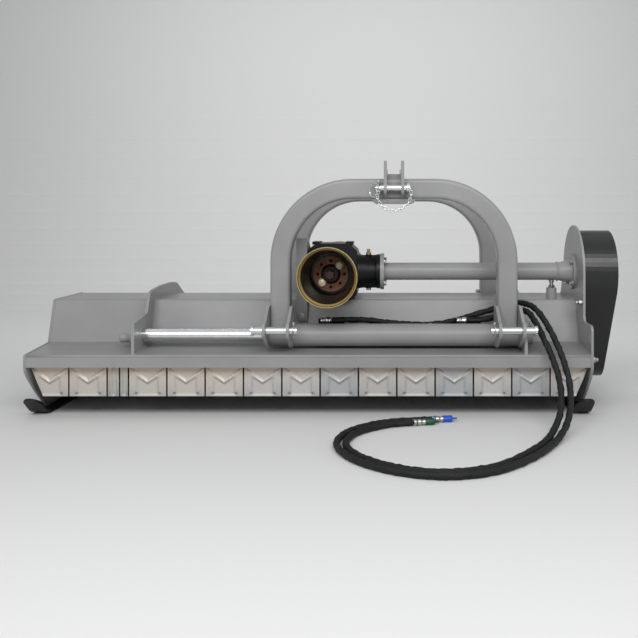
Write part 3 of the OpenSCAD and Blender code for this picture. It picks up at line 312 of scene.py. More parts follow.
# zinc plate on the sheet's own UV, u across and v down: warm bloom towards the top, painted shade in cool
# grey down both creases and a cool stain round the low corners, painted shadow under the raised V and in the
# low dimples, a painted highlight along the V's top, fine crystal grain
def buildZincGroup():
    g, inp, out = newGroup(
        "zincBloom",
        [("Base", "Color", rgb(206, 200, 194)), ("Warm", "Color", rgb(212, 190, 162)),
         ("Cool", "Color", rgb(138, 145, 148)), ("Bloom", "Float", 0.6),
         ("Crease Shade And Stain", "Float", 0.6), ("Vee", "Float", 1.0)],
        surfaceOuts,
    )
    # shares of the sheet, off its middle or down it; the V's lines are low + slope times off = foot or top
    creaseOff, dimpleShadeOff, dimpleShadeDown = 0.29, 0.315, 0.915
    veeSlope, veeFoot, veeTop = 0.69, 0.625, 0.545
    place = addNode(g, "ShaderNodeTexCoord")
    at = place.outputs["Object"]
    uv = addNode(g, "ShaderNodeSeparateXYZ")
    g.links.new(place.outputs["UV"], uv.inputs[0])
    across, low = uv.outputs[0], uv.outputs[1]
    wander = maths(g, "MULTIPLY", maths(g, "SUBTRACT", noiseOn(g, at, 22, 6, 0.65), 0.5), 0.5)
    off = apart(g, across, 0.5)
    down = maths(g, "ADD", low, wander)
    side = maths(g, "ADD", off, maths(g, "MULTIPLY", wander, 0.5))
    warm = maths(g, "MAXIMUM", ranged(g, down, 0.1, 0.55, 1, 0), ranged(g, side, 0.42, 0.56, 0, 0.8))
    # painted shade in cool grey along both creases, lower down, and a real cool stain round the low corners
    crease = ranged(g, apart(g, off, creaseOff), 0.0, 0.06, 0.8, 0)
    crease = maths(g, "MULTIPLY", crease, ranged(g, down, 0.3, 0.6))
    corner = maths(g, "MULTIPLY", ranged(g, side, 0.2, 0.36), ranged(g, down, 0.55, 1.0))
    creaseShadeAndStain = maths(g, "MULTIPLY", maths(g, "MAXIMUM", crease, corner), inp.outputs["Crease Shade And Stain"])
    # painted shade in the dimples of the low corners
    dimpleShade = maths(g, "MULTIPLY", ranged(g, apart(g, off, dimpleShadeOff), 0.012, 0.06, 1, 0),
                 ranged(g, apart(g, low, dimpleShadeDown), 0.012, 0.06, 1, 0))
    vee = maths(g, "ADD", low, maths(g, "MULTIPLY", off, veeSlope))
    arm = maths(g, "MULTIPLY", ranged(g, off, 0.38, 0.44, 1, 0), inp.outputs["Vee"])
    near = maths(g, "MULTIPLY", ranged(g, off, 0.27, 0.33, 1, 0), inp.outputs["Vee"])
    # painted shadow: a dark band under the V's lower arms
    under = maths(g, "MULTIPLY", near, ranged(g, apart(g, vee, veeFoot), 0.0, 0.035, 0.55, 0))
    # painted highlight: a pale line along the V's upper arms
    veeHighlight = maths(g, "MULTIPLY", arm, ranged(g, apart(g, vee, veeTop), 0.012, 0.045, 0.6, 0))
    cells = addNode(g, "ShaderNodeTexVoronoi", {"Scale": 190.0})
    g.links.new(at, cells.inputs["Vector"])
    grain = addNode(g, "ShaderNodeSeparateColor")
    g.links.new(cells.outputs["Color"], grain.inputs[0])
    bloom = maths(g, "MULTIPLY", warm, inp.outputs["Bloom"])
    tone = mixed(g, bloom, inp.outputs["Base"], inp.outputs["Warm"])
    # the cool grey carries the painted crease shade and the stain, with a little grain
    dullStainAndShade = maths(g, "ADD", creaseShadeAndStain, maths(g, "MULTIPLY", grain.outputs[0], 0.08))
    # painted highlight along the V's top, in pale zinc
    sheet = mixed(g, veeHighlight, mixed(g, dullStainAndShade, tone, inp.outputs["Cool"]), rgb(226, 222, 214))
    # painted shade under the V and in the dimples, in dark grey
    veeAndDimpleShade = maths(g, "MAXIMUM", under, maths(g, "MULTIPLY", dimpleShade, 0.75))
    g.links.new(mixed(g, veeAndDimpleShade, sheet, rgb(84, 86, 86)), out.inputs["Color"])
    g.links.new(ranged(g, dullStainAndShade, 0, 0.8, 0.48, 0.62), out.inputs["Roughness"])
    g.links.new(grain.outputs[0], out.inputs["Height"])
    return g


# rust: a ragged mask from two noises, brown to orange inside it
def buildRustGroup():
    g, inp, out = newGroup(
        "rustBloom",
        [("Under", "Color", rgb(120, 115, 110)), ("Rust", "Color", rgb(110, 62, 34)),
         ("Orange", "Color", rgb(160, 92, 48)), ("Amount", "Float", 0.5)],
        [("Color", "Color"), ("Roughness", "Float"), ("Metallic", "Float"), ("Height", "Float")],
    )
    at = addNode(g, "ShaderNodeTexCoord").outputs["Object"]
    broad, fine = noiseOn(g, at, 26, 8, 0.66), noiseOn(g, at, 130, 6, 0.6)
    edge = maths(g, "SUBTRACT", 1.0, inp.outputs["Amount"])
    ragged = maths(g, "ADD", maths(g, "MULTIPLY", broad, 0.7), maths(g, "MULTIPLY", fine, 0.3))
    mask = ranged(g, maths(g, "SUBTRACT", ragged, edge), -0.06, 0.08)
    brown = mixed(g, fine, inp.outputs["Rust"], inp.outputs["Orange"])
    g.links.new(mixed(g, mask, inp.outputs["Under"], brown), out.inputs["Color"])
    g.links.new(ranged(g, mask, 0, 1, 0.38, 0.82), out.inputs["Roughness"])
    g.links.new(ranged(g, mask, 0, 1, 0.85, 0.05), out.inputs["Metallic"])
    g.links.new(maths(g, "MULTIPLY", fine, mask), out.inputs["Height"])
    return g


# plaited sleeve on the tube's own UV: two crossed helices multiplied give the over-and-under of the yarns
def buildSleeveGroup():
    g, inp, out = newGroup(
        "plaitedSleeve",
        [("Yarn", "Color", rgb(30, 31, 33)), ("Gap", "Color", rgb(8, 8, 9)),
         ("Along", "Float", 6.0), ("Round", "Float", 9.0)],
        [("Color", "Color"), ("Height", "Float")],
    )
    uv = addNode(g, "ShaderNodeSeparateXYZ")
    g.links.new(addNode(g, "ShaderNodeTexCoord").outputs["UV"], uv.inputs[0])
    u = maths(g, "MULTIPLY", uv.outputs[0], inp.outputs["Along"])
    v = maths(g, "MULTIPLY", uv.outputs[1], inp.outputs["Round"])
    one = maths(g, "SINE", maths(g, "MULTIPLY", maths(g, "ADD", u, v), 2 * math.pi))
    two = maths(g, "SINE", maths(g, "MULTIPLY", maths(g, "SUBTRACT", u, v), 2 * math.pi))
    plait = ranged(g, maths(g, "MULTIPLY", one, two), -1, 1)
    g.links.new(mixed(g, plait, inp.outputs["Gap"], inp.outputs["Yarn"]), out.inputs["Color"])
    g.links.new(plait, out.inputs["Height"])
    return g


groups = {
    "paint": buildPaintGroup(),
    "metal": buildMetalGroup(),
    "zinc": buildZincGroup(),
    "rust": buildRustGroup(),
    "sleeve": buildSleeveGroup(),
}


# material whose group feeds the shader: colour, roughness and, where it has them, metal and bump
def finishFrom(name, group, values, bump=0.0, depth=0.001, **sockets):
    material = bpy.data.materials.new(name)
    material.use_nodes = True
    tree = material.node_tree
    shader = tree.nodes["Principled BSDF"]
    g = addNode(tree, "ShaderNodeGroup", node_tree=groups[group])
    for key, value in values.items():
        g.inputs[key].default_value = value
    tree.links.new(g.outputs["Color"], shader.inputs["Base Color"])
    for socket in ("Roughness", "Metallic"):
        if socket in g.outputs:
            tree.links.new(g.outputs[socket], shader.inputs[socket])
    if bump:
        b = addNode(tree, "ShaderNodeBump", {"Strength": bump, "Distance": depth})
        tree.links.new(g.outputs["Height"], b.inputs["Height"])
        tree.links.new(b.outputs["Normal"], shader.inputs["Normal"])
    for key, value in sockets.items():
        shader.inputs[key.replace("_", " ")].default_value = value
    return material


# finishes by material slot
finishes = {
    "grey_paint": finishFrom(
        "greyPaint", "paint",
        {"Base": rgb(147, 147, 147), "Shade": rgb(136, 136, 137), "Dust": rgb(152, 149, 143),
         "Dust Amount": 0.22, "Gloss": 0.27},
        bump=0.06, depth=0.0005, Specular_IOR_Level=0.25,
    ),
    "bright_chrome": finishFrom(
        "brightChrome", "metal",
        {"Base": rgb(226, 227, 228), "Shade": rgb(196, 198, 201), "Stretch": (0.04, 1, 1), "Gloss": 0.08},
        bump=0.02, depth=0.0003, Metallic=1.0,
    ),
    "plated_steel": finishFrom(
        "platedSteel", "metal",
        {"Base": rgb(198, 197, 194), "Shade": rgb(150, 148, 143), "Stretch": (1, 1, 1), "Gloss": 0.24},
        bump=0.05, depth=0.0004, Metallic=1.0,
    ),
    "black_paint": finishFrom(
        "blackPaint", "paint",
        {"Base": rgb(6, 7, 9), "Shade": rgb(11, 12, 14), "Dust": rgb(60, 58, 55),
         "Dust Amount": 0.08, "Gloss": 0.34},
        bump=0.08, depth=0.0005, Specular_IOR_Level=0.24,
    ),
    "black_casting": finishFrom(
        "blackCasting", "paint",
        {"Base": rgb(10, 11, 12), "Shade": rgb(20, 20, 20), "Dust": rgb(78, 68, 58),
         "Dust Amount": 0.18, "Gloss": 0.3},
        bump=0.4, depth=0.0012, Specular_IOR_Level=0.2,
    ),
    "guard_plastic": finishFrom(
        "guardPlastic", "paint",
        {"Base": rgb(22, 22, 21), "Shade": rgb(32, 31, 28), "Dust": rgb(88, 82, 70),
         "Dust Amount": 0.22, "Gloss": 0.24},
        bump=0.15, depth=0.0006,
    ),
    "rusty_steel": finishFrom(
        "rustySteel", "rust",
        {"Under": rgb(92, 70, 56), "Rust": rgb(104, 70, 48), "Orange": rgb(156, 104, 70), "Amount": 0.56},
        bump=0.35, depth=0.0015,
    ),
    "brass": finishFrom(
        "brassFitting", "metal",
        {"Base": rgb(186, 162, 132), "Shade": rgb(122, 98, 78), "Stretch": (1, 1, 1), "Gloss": 0.22},
        bump=0.05, depth=0.0004, Metallic=1.0,
    ),
    "black_rubber": finishFrom(
        "blackRubber", "paint",
        {"Base": rgb(24, 24, 25), "Shade": rgb(32, 32, 32), "Dust": rgb(104, 98, 90),
         "Dust Amount": 0.3, "Gloss": 0.62},
        bump=0.2, depth=0.0006,
    ),
    "hose_sleeve": finishFrom(
        "hoseSleeve", "sleeve",
        {"Yarn": rgb(24, 25, 27), "Gap": rgb(6, 6, 7), "Along": 9.0, "Round": 10.0},
        bump=0.6, depth=0.0012, Roughness=0.62, Specular_IOR_Level=0.3,
    ),
    "blue_cap": finishFrom(
        "blueCap", "paint",
        {"Base": rgb(8, 86, 206), "Shade": rgb(6, 70, 176), "Dust": rgb(90, 130, 190),
         "Dust Amount": 0.08, "Gloss": 0.3},
        bump=0.05, depth=0.0004,
    ),
    "zinc_sheet": finishFrom("zincSheet", "zinc", {}, bump=0.1, depth=0.0004, Metallic=0.3),
    "green_cap": finishFrom(
        "greenCap", "paint",
        {"Base": rgb(8, 86, 46), "Shade": rgb(6, 66, 36), "Dust": rgb(80, 130, 100),
         "Dust Amount": 0.08, "Gloss": 0.3},
        bump=0.05, depth=0.0004,
    ),
}

for part in frame["record"]["subparts"]:
    slots = nodes[part["node"]].data.materials
    slots.clear()
    slots.append(finishes[part["material_slot"]])
nodes["belt_guard"].data.materials[0] = finishFrom(  # glossier than the other black paint
    "guardPaint", "paint",
    {"Base": rgb(8, 9, 11), "Shade": rgb(12, 13, 15), "Dust": rgb(60, 58, 55),
     "Dust Amount": 0.05, "Gloss": 0.26},
    bump=0.05, depth=0.0004, Specular_IOR_Level=0.55,
)
print("finishes on", len(nodes), "nodes")

groundGap = 0.0002  # what lies on the ground stays this far above it

# hoses: the routes of the solids, in metres, from the cylinder's ports to the couplings on the ground
hoseOne = {
    "route": [
        (0.0305, -0.2460, 0.3610), (0.1495, -0.2380, 0.3640), (0.2995, -0.2140, 0.3460),
        (0.4345, -0.2030, 0.3400), (0.5445, -0.2060, 0.3580), (0.6245, -0.2160, 0.3840),
        (0.6995, -0.2310, 0.4080), (0.7595, -0.2430, 0.4280), (0.8075, -0.2720, 0.4360),
        (0.8465, -0.3200, 0.4260), (0.8755, -0.3820, 0.3880), (0.9015, -0.4500, 0.3300),
        (0.9275, -0.5150, 0.2500), (0.9395, -0.5850, 0.1600), (0.9175, -0.6780, 0.0740),
        (0.8575, -0.7850, 0.0200), (0.7445, -0.9750, 0.0135), (0.5995, -1.1300, 0.0130),
        (0.4395, -1.1820, 0.0130), (0.2795, -1.1300, 0.0130), (0.1495, -1.0000, 0.0130),
        (0.0875, -0.8300, 0.0130), (0.1245, -0.6600, 0.0130), (0.2495, -0.5350, 0.0130),
        (0.4295, -0.4880, 0.0130),
    ],
    "diameter": 0.025,
    "sides": 24,
    "steps": 14,
    "crumple": 0.0013,
    "drawnIn": 0.5,  # in crumples, so that the ripples pass the diameter by little
}
hoseTwo = dict(hoseOne, route=[
    (0.5905, -0.2460, 0.3610), (0.6545, -0.2450, 0.3650), (0.7145, -0.2500, 0.3820),
    (0.7675, -0.2630, 0.4020), (0.8055, -0.2910, 0.4090), (0.8295, -0.3330, 0.4010),
    (0.8485, -0.3900, 0.3660), (0.8675, -0.4520, 0.3140), (0.8915, -0.5150, 0.2430),
    (0.9045, -0.5820, 0.1600), (0.8845, -0.6750, 0.0800), (0.8245, -0.7830, 0.0220),
    (0.7285, -0.9380, 0.0135), (0.5975, -1.0920, 0.0130), (0.4395, -1.1500, 0.0130),
    (0.2975, -1.1040, 0.0130), (0.1775, -0.9860, 0.0130), (0.1195, -0.8340, 0.0130),
    (0.1515, -0.6800, 0.0130), (0.2595, -0.5680, 0.0130), (0.3595, -0.5350, 0.0130),
])


# sleeved hose: a tube whose radius ripples as loose textile does, by a sum of three sine terms; s is the run
# along the hose in metres and a the angle round it
def makeHose(name, v, node):
    path = smoothRoute(v["route"], v["steps"])
    run = runAlong(path)
    length, girth = float(run[-1]), np.pi * v["diameter"]
    s = run[:, None]
    a = np.linspace(0, 2 * np.pi, v["sides"], endpoint=False)
    ripple = np.sin(150 * s + 2 * np.sin(23 * s)) * np.sin(2 * a + 31 * s)
    ripple += 0.7 * np.sin(83 * s) * np.sin(3 * a - 17 * s)
    ripple += 0.5 * np.sin(301 * s + 3 * np.sin(a + 11 * s))
    radius = v["diameter"] / 2 + v["crumple"] * (ripple - v["drawnIn"])
    points, faces = tubeAlong(path, radius, v["sides"])
    points[:, 2] = np.maximum(points[:, 2], groundGap)  # the sleeve flattens where it lies on the ground
    uv = np.stack(np.broadcast_arrays(s / girth, a / (2 * np.pi)), -1).reshape(-1, 2)
    uv = np.concatenate([uv, [[0, 0], [length / girth, 0]]])
    piece = makePiece(name, points, faces, finishes["hose_sleeve"], "carriage", uv=uv)
    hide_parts(node)
    print(name, "is", round(length, 2), "m long")


# quick coupling on a hose's end: plated body, ribbed dust cap with a pull ring, and the cap's strap round the
# body; profiles are (radius, distance from the hose's end)
coupling = {
    "body": [
        (0, -0.004), (0.0118, -0.004), (0.0121, 0.000), (0.0121, 0.014), (0.0112, 0.0155), (0.0112, 0.018),
        (0.0124, 0.019), (0.0124, 0.027), (0.0112, 0.0285), (0.0092, 0.029), (0.0092, 0.036), (0.0105, 0.038),
        (0.0105, 0.046), (0.0080, 0.050), (0, 0.050),
    ],
    "bodySides": 36,
    "cap": [
        (0, 0.044), (0.0110, 0.044), (0.0123, 0.0455), (0.0125, 0.050), (0.0125, 0.076), (0.0118, 0.080),
        (0.0070, 0.0825), (0, 0.083),
    ],
    "capSides": 96,
    "capRound": 0.0125,
    "ribs": 16,
    "ribDeep": 0.0011,
    "ribsIn": (0.048, 0.052),
    "ribsOut": (0.072, 0.077),
    "ring": (0.0075, 0.0021),  # radius, wire
    "ringAt": 0.0835,
    "ringSides": 10,
    "strapWire": 0.0014,
    # the strap's tail beside the body, from its loop on: distance from the hose's end and off the axis
    "tail": [(0.012, 0.0128), (0.024, 0.0150), (0.036, 0.0152), (0.047, 0.0128), (0.054, 0.0112)],
    "tailWire": 0.0013,
    "tailSteps": 8,
    "strapSides": 8,
}


# the cap's skirt is a turned profile whose radius dips between its ribs; ring and strap are round loops
def makeCoupling(name, v, hose, node, capSlot):
    path = smoothRoute(hose["route"], hose["steps"])
    end, way = path[-1], path[-1] - path[-1 - hose["steps"] // 2]
    way = way / np.linalg.norm(way)
    side = np.cross((0.0, 0.0, 1.0), way)
    points, faces = turned(v["body"], end, way, v["bodySides"])
    plated = finishes["plated_steel"]
    body = makePiece(name + "Body", points, faces, plated, "carriage", weld=True)
    points, skirt = turned(v["cap"], end, way, v["capSides"])
    along = ((points - end) @ way)[:, None]
    off = points - end - along * way
    a = np.tile(np.linspace(0, 2 * np.pi, v["capSides"], endpoint=False), len(v["cap"]))[:, None]
    on = softStep(along, *v["ribsIn"]) * (1 - softStep(along, *v["ribsOut"]))
    dip = on * v["ribDeep"] / v["capRound"] * (0.5 + 0.5 * np.cos(v["ribs"] * a))
    ribbed = end + along * way + off * (1 - dip)
    t = np.linspace(0, 2 * np.pi, 49)[:, None]
    r, wire = v["ring"]
    ring = end + way * (v["ringAt"] + 0.85 * r) + r * (1.15 * np.cos(t) * way + np.sin(t) * side)
    h, r = v["tail"][0]
    strap = end + way * h + r * (np.cos(t) * side + np.sin(t) * np.cross(way, side))
    tail = smoothRoute([end + way * h + side * r for h, r in v["tail"]], v["tailSteps"])
    points, faces = joined([
        (ribbed, skirt), tubeAlong(ring, wire, v["ringSides"]),
        tubeAlong(strap, v["strapWire"], v["strapSides"]), tubeAlong(tail, v["tailWire"], v["strapSides"]),
    ])
    points[:, 2] = np.maximum(points[:, 2], groundGap)  # strap and ring lie on the ground
    cap = makePiece(name + "Cap", points, faces, finishes[capSlot], "carriage", weld=True)
    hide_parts(node)
    return [body, cap]


blueEnds = makeCoupling("blueCoupling", coupling, hoseOne, "coupling_blue", "blue_cap")
makeHose("hoseOneSleeve", hoseOne, "hose_one")
greenEnds = makeCoupling("greenCoupling", coupling, hoseTwo, "coupling_green", "green_cap")
makeHose("hoseTwoSleeve", hoseTwo, "hose_two")

# flaps: pressed sheets on the rod; places on a sheet are a share of its width and metres below the rod
flapSheet = {
    "thick": 0.004,
    "bore": 0.0076,
    "eyeGap": 0.0004,
    "roll": (-100, -440),  # degrees round the eye
    "rollSteps": 41,
    "edge": 0.0015,  # left free at each side
    "vee": ((0.06, 0.024), (0.27, 0.046), (0.50, 0.071)),
    "veeHalf": 0.0088,
    "veeRise": 0.0056,
    "veeFaint": (0.65, 0.8),  # upper arms, as shares of the rise and of the half width
    "crease": ((0.25, 0.050), (0.205, 0.118)),
    "sunk": 0.0022,
    "sunkSide": (-0.002, 0.003),  # soft edges of the sunk panel, past the crease, the arm and the foot
    "sunkTop": (0.002, 0.009),
    "sunkFoot": (0, 0.008),
    "dimple": (0.185, 0.118),
    "dimpleHalf": (0.006, 0.0045),
    "dimpleDeep": 0.0034,
    "pressFrom": (0.012, 0.020),
    "trim": 0.046,
    "trimFrom": 0.018,
    "columns": 64,
    "rows": 48,
    # a sheet under this width has one upright rib and one dimple
    "narrow": 0.09,
    "narrowColumns": 24,
    "ribHalf": 0.0075,
    "ribRise": 0.0022,
    "ribFrom": (0.014, 0.024),
    "ribDimple": (0.006, 0.005),
    # plating tones: base red, green, blue, warm bloom, cool painted crease shade and stain; one letter per
    # sheet, from the left
    "tones": {
        "w": (187, 181, 174, 0.70, 0.45),  # warm
        "d": (167, 166, 160, 0.65, 0.75),  # dull
        "p": (181, 178, 174, 0.40, 0.55),  # plain
        "c": (165, 167, 168, 0.25, 0.80),  # cool
    },
    "order": "wwddwwwppcppcpcp",
}


# distance of every point (x, d) from the line between two points
def toLine(x, d, p, q):
    vx, vd = q[0] - p[0], q[1] - p[1]
    t = np.clip(((x - p[0]) * vx + (d - p[1]) * vd) / (vx * vx + vd * vd), 0, 1)
    return np.hypot(x - p[0] - t * vx, d - p[1] - t * vd)


# round ridge: 1 on its line, falling as half a cosine wave to 0 at its half width
def ridge(away, half):
    return (1 + np.cos(np.pi * np.clip(away / half, 0, 1))) / 2


# round pit: 1 at its middle, falling as a bell to both sides
def pit(x, d, half):
    return np.exp(-np.hypot(x / half[0], d / half[1]) ** 2)


# how far the press pushed the sheet forward: a raised V whose lower arms are the fuller, the panel under it
# sunk between two leaning creases, and a dimple in each low corner; a narrow sheet has one upright rib
def pressed(x, d, w, v):
    dimpleX, dimpleD = v["dimple"]
    if w < v["narrow"]:
        off = x - w / 2
        rib = v["ribRise"] * ridge(np.abs(off), v["ribHalf"]) * softStep(d, *v["ribFrom"])
        return rib - v["dimpleDeep"] * pit(off, d - dimpleD, v["ribDimple"])
    m = np.minimum(x, w - x)
    a, b, c = ((share * w, k) for share, k in v["vee"])
    rise, width = v["veeFaint"]
    full = ridge(toLine(m, d, b, c), v["veeHalf"])
    faint = rise * ridge(toLine(m, d, a, b), width * v["veeHalf"])
    vee = v["veeRise"] * np.maximum(full, faint)
    p, q = ((share * w, k) for share, k in v["crease"])
    edge = p[0] + (q[0] - p[0]) * (d - p[1]) / (q[1] - p[1])
    arm = b[1] + (c[1] - b[1]) * (m - b[0]) / (c[0] - b[0])
    inside = softStep(m - edge, *v["sunkSide"]) * softStep(d - arm, *v["sunkTop"])
    inside = inside * (1 - softStep(d - q[1], *v["sunkFoot"]))
    dimple = pit(m - dimpleX * w, d - dimpleD, v["dimpleHalf"])
    return (vee - v["sunk"] * inside) * softStep(d, *v["pressFrom"]) - v["dimpleDeep"] * dimple


# a flap's section runs up the front, round the rolled eye, back inside it and down the back; the section is
# carried across the width and each point of the sheet is moved by the pressing; the outermost two sheets are
# trimmed at the side plates
def makeFlap(k, v):
    number = f"{k + 1:02d}"
    name = "flap_" + number
    low, high = (np.array(c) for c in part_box(name))
    rodLow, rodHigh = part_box("flap_rod")
    rodY, rodZ = (rodLow[1] + rodHigh[1]) / 2, (rodLow[2] + rodHigh[2]) / 2
    left, right = low[0] + v["edge"], high[0] - v["edge"]
    w = right - left
    eye, drop, half, bore = high[2] - rodZ, rodZ - low[2], v["thick"] / 2, v["bore"]
    rows = np.linspace(drop, eye + v["eyeGap"], v["rows"])
    roll = np.radians(np.linspace(*v["roll"], v["rollSteps"]))
    back = roll[::-1]
    sectionY = np.concatenate([rows * 0 - half, eye * np.cos(roll), bore * np.cos(back), rows * 0 + half])
    sectionD = np.concatenate([rows, -eye * np.sin(roll), -bore * np.sin(back), rows[::-1]])
    sheet = np.concatenate([rows * 0 + 1, roll * 0, roll * 0, rows * 0 + 1])  # 0 round the eye
    cut = v["trim"] * np.clip((sectionD - v["trimFrom"]) / (drop - v["trimFrom"]), 0, 1)[:, None]
    wide = w > v["narrow"]
    u = np.linspace(0, 1, v["columns"] if wide else v["narrowColumns"])[None]
    x = u * w + 0 * cut
    if k == 0:
        x = cut + u * (w - cut)
    elif k == len(v["order"]) - 1:
        x = u * (w - cut)
    d = sectionD[:, None] + 0 * u
    y = sectionY[:, None] - sheet[:, None] * pressed(x, d, w, v)
    points = np.stack([left + x, rodY + y, rodZ - d], -1).reshape(-1, 3)
    n, c = d.shape
    faces = gridFaces(n, c, loopRows=True, loopCols=False).tolist()
    faces += [list(range(0, n * c, c)), list(range(c - 1, n * c, c))]
    uv = np.stack([x / w, np.clip(d / drop, 0, 1)], -1).reshape(-1, 2)
    # each sheet has its own amount of cool painted crease shade and stain
    r, g, b, bloom, creaseShadeAndStain = v["tones"][v["order"][k]]
    finish = finishFrom(
        "zincSheet" + number, "zinc",
        {"Base": rgb(r, g, b), "Bloom": bloom, "Crease Shade And Stain": creaseShadeAndStain, "Vee": float(wide)},
        bump=0.1, depth=0.0004, Metallic=0.3,
    )
    piece = makePiece("flapSheet" + number, points, faces, finish, name, uv=uv)
    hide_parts(name)


for k in range(len(flapSheet["order"])):
    makeFlap(k, flapSheet)
print("flaps pressed")

# drive head: a band on the lip of each shaft guard, two flanged bolts and a collar on the driving disc;
# profiles are (radius, height)
driveHead = {
    "lip": [
        (0.1172, 0.018), (0.1172, 0.0006), (0.1164, -0.0010), (0.1148, -0.0012), (0.1136, 0.0004),
        (0.1062, 0.0240), (0.1052, 0.0300), (0.1068, 0.0310), (0.1140, 0.0200),
    ],
    "lipSides": 96,
    "discFace": 0.014,  # the disc's face lies this far behind the front of its hub
    "boltAt": 0.050,
    "bolt": [
        (0, 0.0148), (0.0060, 0.0148), (0.0068, 0.0138), (0.0120, 0.0138), (0.0146, 0.0124), (0.0153, 0.0100),
        (0.0153, 0.0046), (0.0170, 0.0036), (0.0177, 0.0020), (0.0177, 0), (0, 0),
    ],
    "boltSides": 40,
    "collar": [
        (0.0215, 0.006), (0.0215, 0.0190), (0.0228, 0.0204), (0.0295, 0.0204), (0.0320, 0.0182),
        (0.0326, 0.0120), (0.0345, 0.0060), (0.0400, 0.0006), (0.0400, -0.001), (0.0220, -0.001),
    ],
    "collarSides": 64,
}
yellowBand = finishFrom(
    "yellowBand", "paint",
    {"Base": rgb(188, 163, 94), "Shade": rgb(160, 138, 78), "Dust": rgb(116, 105, 78),
     "Dust Amount": 0.45, "Gloss": 0.34},
    bump=0.1, depth=0.0005,
)
goldPlate = finishFrom(
    "goldPlate", "metal",
    {"Base": rgb(255, 240, 212), "Shade": rgb(236, 210, 168), "Stretch": (1, 1, 1), "Gloss": 0.3},
    bump=0.05, depth=0.0003, Metallic=0.2,
)
oiledSteel = finishFrom(
    "oiledSteel", "rust",
    {"Under": rgb(62, 56, 52), "Rust": rgb(44, 34, 28), "Orange": rgb(84, 62, 50), "Amount": 0.5},
    bump=0.2, depth=0.0008,
)


# turned profiles on the shaft's axis; the two bolts sit on a diagonal
def makeDriveHead(v):
    low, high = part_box("pto_guards")
    x, z = (low[0] + high[0]) / 2, (low[2] + high[2]) / 2
    front = turned(v["lip"], (x, low[1], z), (0, 1, 0), v["lipSides"], loop=True)
    rear = turned(v["lip"], (x, high[1], z), (0, -1, 0), v["lipSides"], loop=True)
    points, faces = joined([front, rear])
    makePiece("guardLips", points, faces, yellowBand, "deck")
    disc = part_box("flange_disc")[0][1] + v["discFace"]
    step = v["boltAt"] * math.sqrt(0.5)
    places = [(x + step, disc, z + step), (x - step, disc, z - step)]
    points, faces = joined([turned(v["bolt"], place, (0, -1, 0), v["boltSides"]) for place in places])
    makePiece("discBolts", points, faces, goldPlate, "through_shaft", weld=True)
    points, faces = turned(v["collar"], (x, disc, z), (0, -1, 0), v["collarSides"], loop=True)
    makePiece("discCollar", points, faces, oiledSteel, "through_shaft")
    nodes["pto_shaft"].data.materials[0] = oiledSteel


makeDriveHead(driveHead)
print("drive head dressed")

# hose fittings at the cylinder: a plated nut and a black crimped ferrule on each hose
hoseEnd = {
    "nut": [
        (0, -0.047), (0.0125, -0.047), (0.0135, -0.0455), (0.0135, -0.034), (0.0120, -0.0325),
        (0.0120, -0.026), (0.0152, -0.0255), (0.0158, -0.0245), (0.0158, -0.008), (0.0152, -0.007),
        (0.0128, -0.0065), (0.0128, 0.004), (0, 0.004),
    ],
    "nutSides": 24,
    "ferruleFrom": 0.002,
    "ferruleTo": 0.050,
    "ferruleRound": 0.0152,
    "ferruleSides": 32,
    "ferruleSteps": 60,
    "crimps": 8,
    "crimpDeep": 0.0011,
}


# ferrule: a sleeve whose radius dips in rounded crimp rings, each the upper half of a sine wave squared
def makeHoseEnd(name, v, at):
    h = np.linspace(v["ferruleFrom"], v["ferruleTo"], v["ferruleSteps"])
    wave = np.sin(h / v["ferruleTo"] * 2 * v["crimps"] * np.pi)
    r = v["ferruleRound"] - v["crimpDeep"] * np.maximum(0, wave) ** 2
    skirt = np.concatenate([[(0, h[0])], np.stack([r, h], 1), [(0, h[-1])]])
    points, faces = turned(skirt, at, (1, 0, 0), v["ferruleSides"])
    makePiece(name + "Ferrule", points, faces, finishes["black_paint"], "carriage", weld=True)
    points, faces = turned(v["nut"], at, (1, 0, 0), v["nutSides"])
    makePiece(name + "Nut", points, faces, finishes["plated_steel"], "carriage", weld=True)


makeHoseEnd("hoseOneEnd", hoseEnd, hoseOne["route"][0])
makeHoseEnd("hoseTwoEnd", hoseEnd, hoseTwo["route"][0])
print("hose fittings made")

# small fittings: the jack bolt under the drive tube, two studs in the right plate, the end of the front rail
fittings = {
    "jackNut": [
        (0, 0.4860), (0.0142, 0.4860), (0.0152, 0.4870), (0.0152, 0.4962), (0.0142, 0.4970), (0, 0.4970),
    ],
    "nutSides": 6,
    "jackBolt": [
        (0, 0.4900), (0.0076, 0.4900), (0.0078, 0.5100), (0.0108, 0.5104), (0.0112, 0.5112), (0.0112, 0.5186),
        (0.0104, 0.5194), (0, 0.5194),
    ],
    "boltSides": 28,
    "stud": [
        (0, -0.0260), (0.0064, -0.0260), (0.0072, -0.0250), (0.0072, -0.0140), (0.0120, -0.0138),
        (0.0124, -0.0126), (0.0124, -0.0034), (0.0134, -0.0030), (0.0134, 0.0), (0, 0.0),
    ],
    "studSides": 24,
    "studsAt": [((1.0615, -0.406, 0.228), (-1, 0, 0)), ((1.0525, -0.285, 0.440), (1, 0, 0))],  # place, axis
    "railEnd": [(0, 0.0), (0.0150, 0.0), (0.0180, 0.0030), (0.0185, 0.0060), (0.0185, 0.0430), (0, 0.0430)],
    "railEndAt": (-0.8140, -0.331, 0.303),
    "railSides": 36,
}


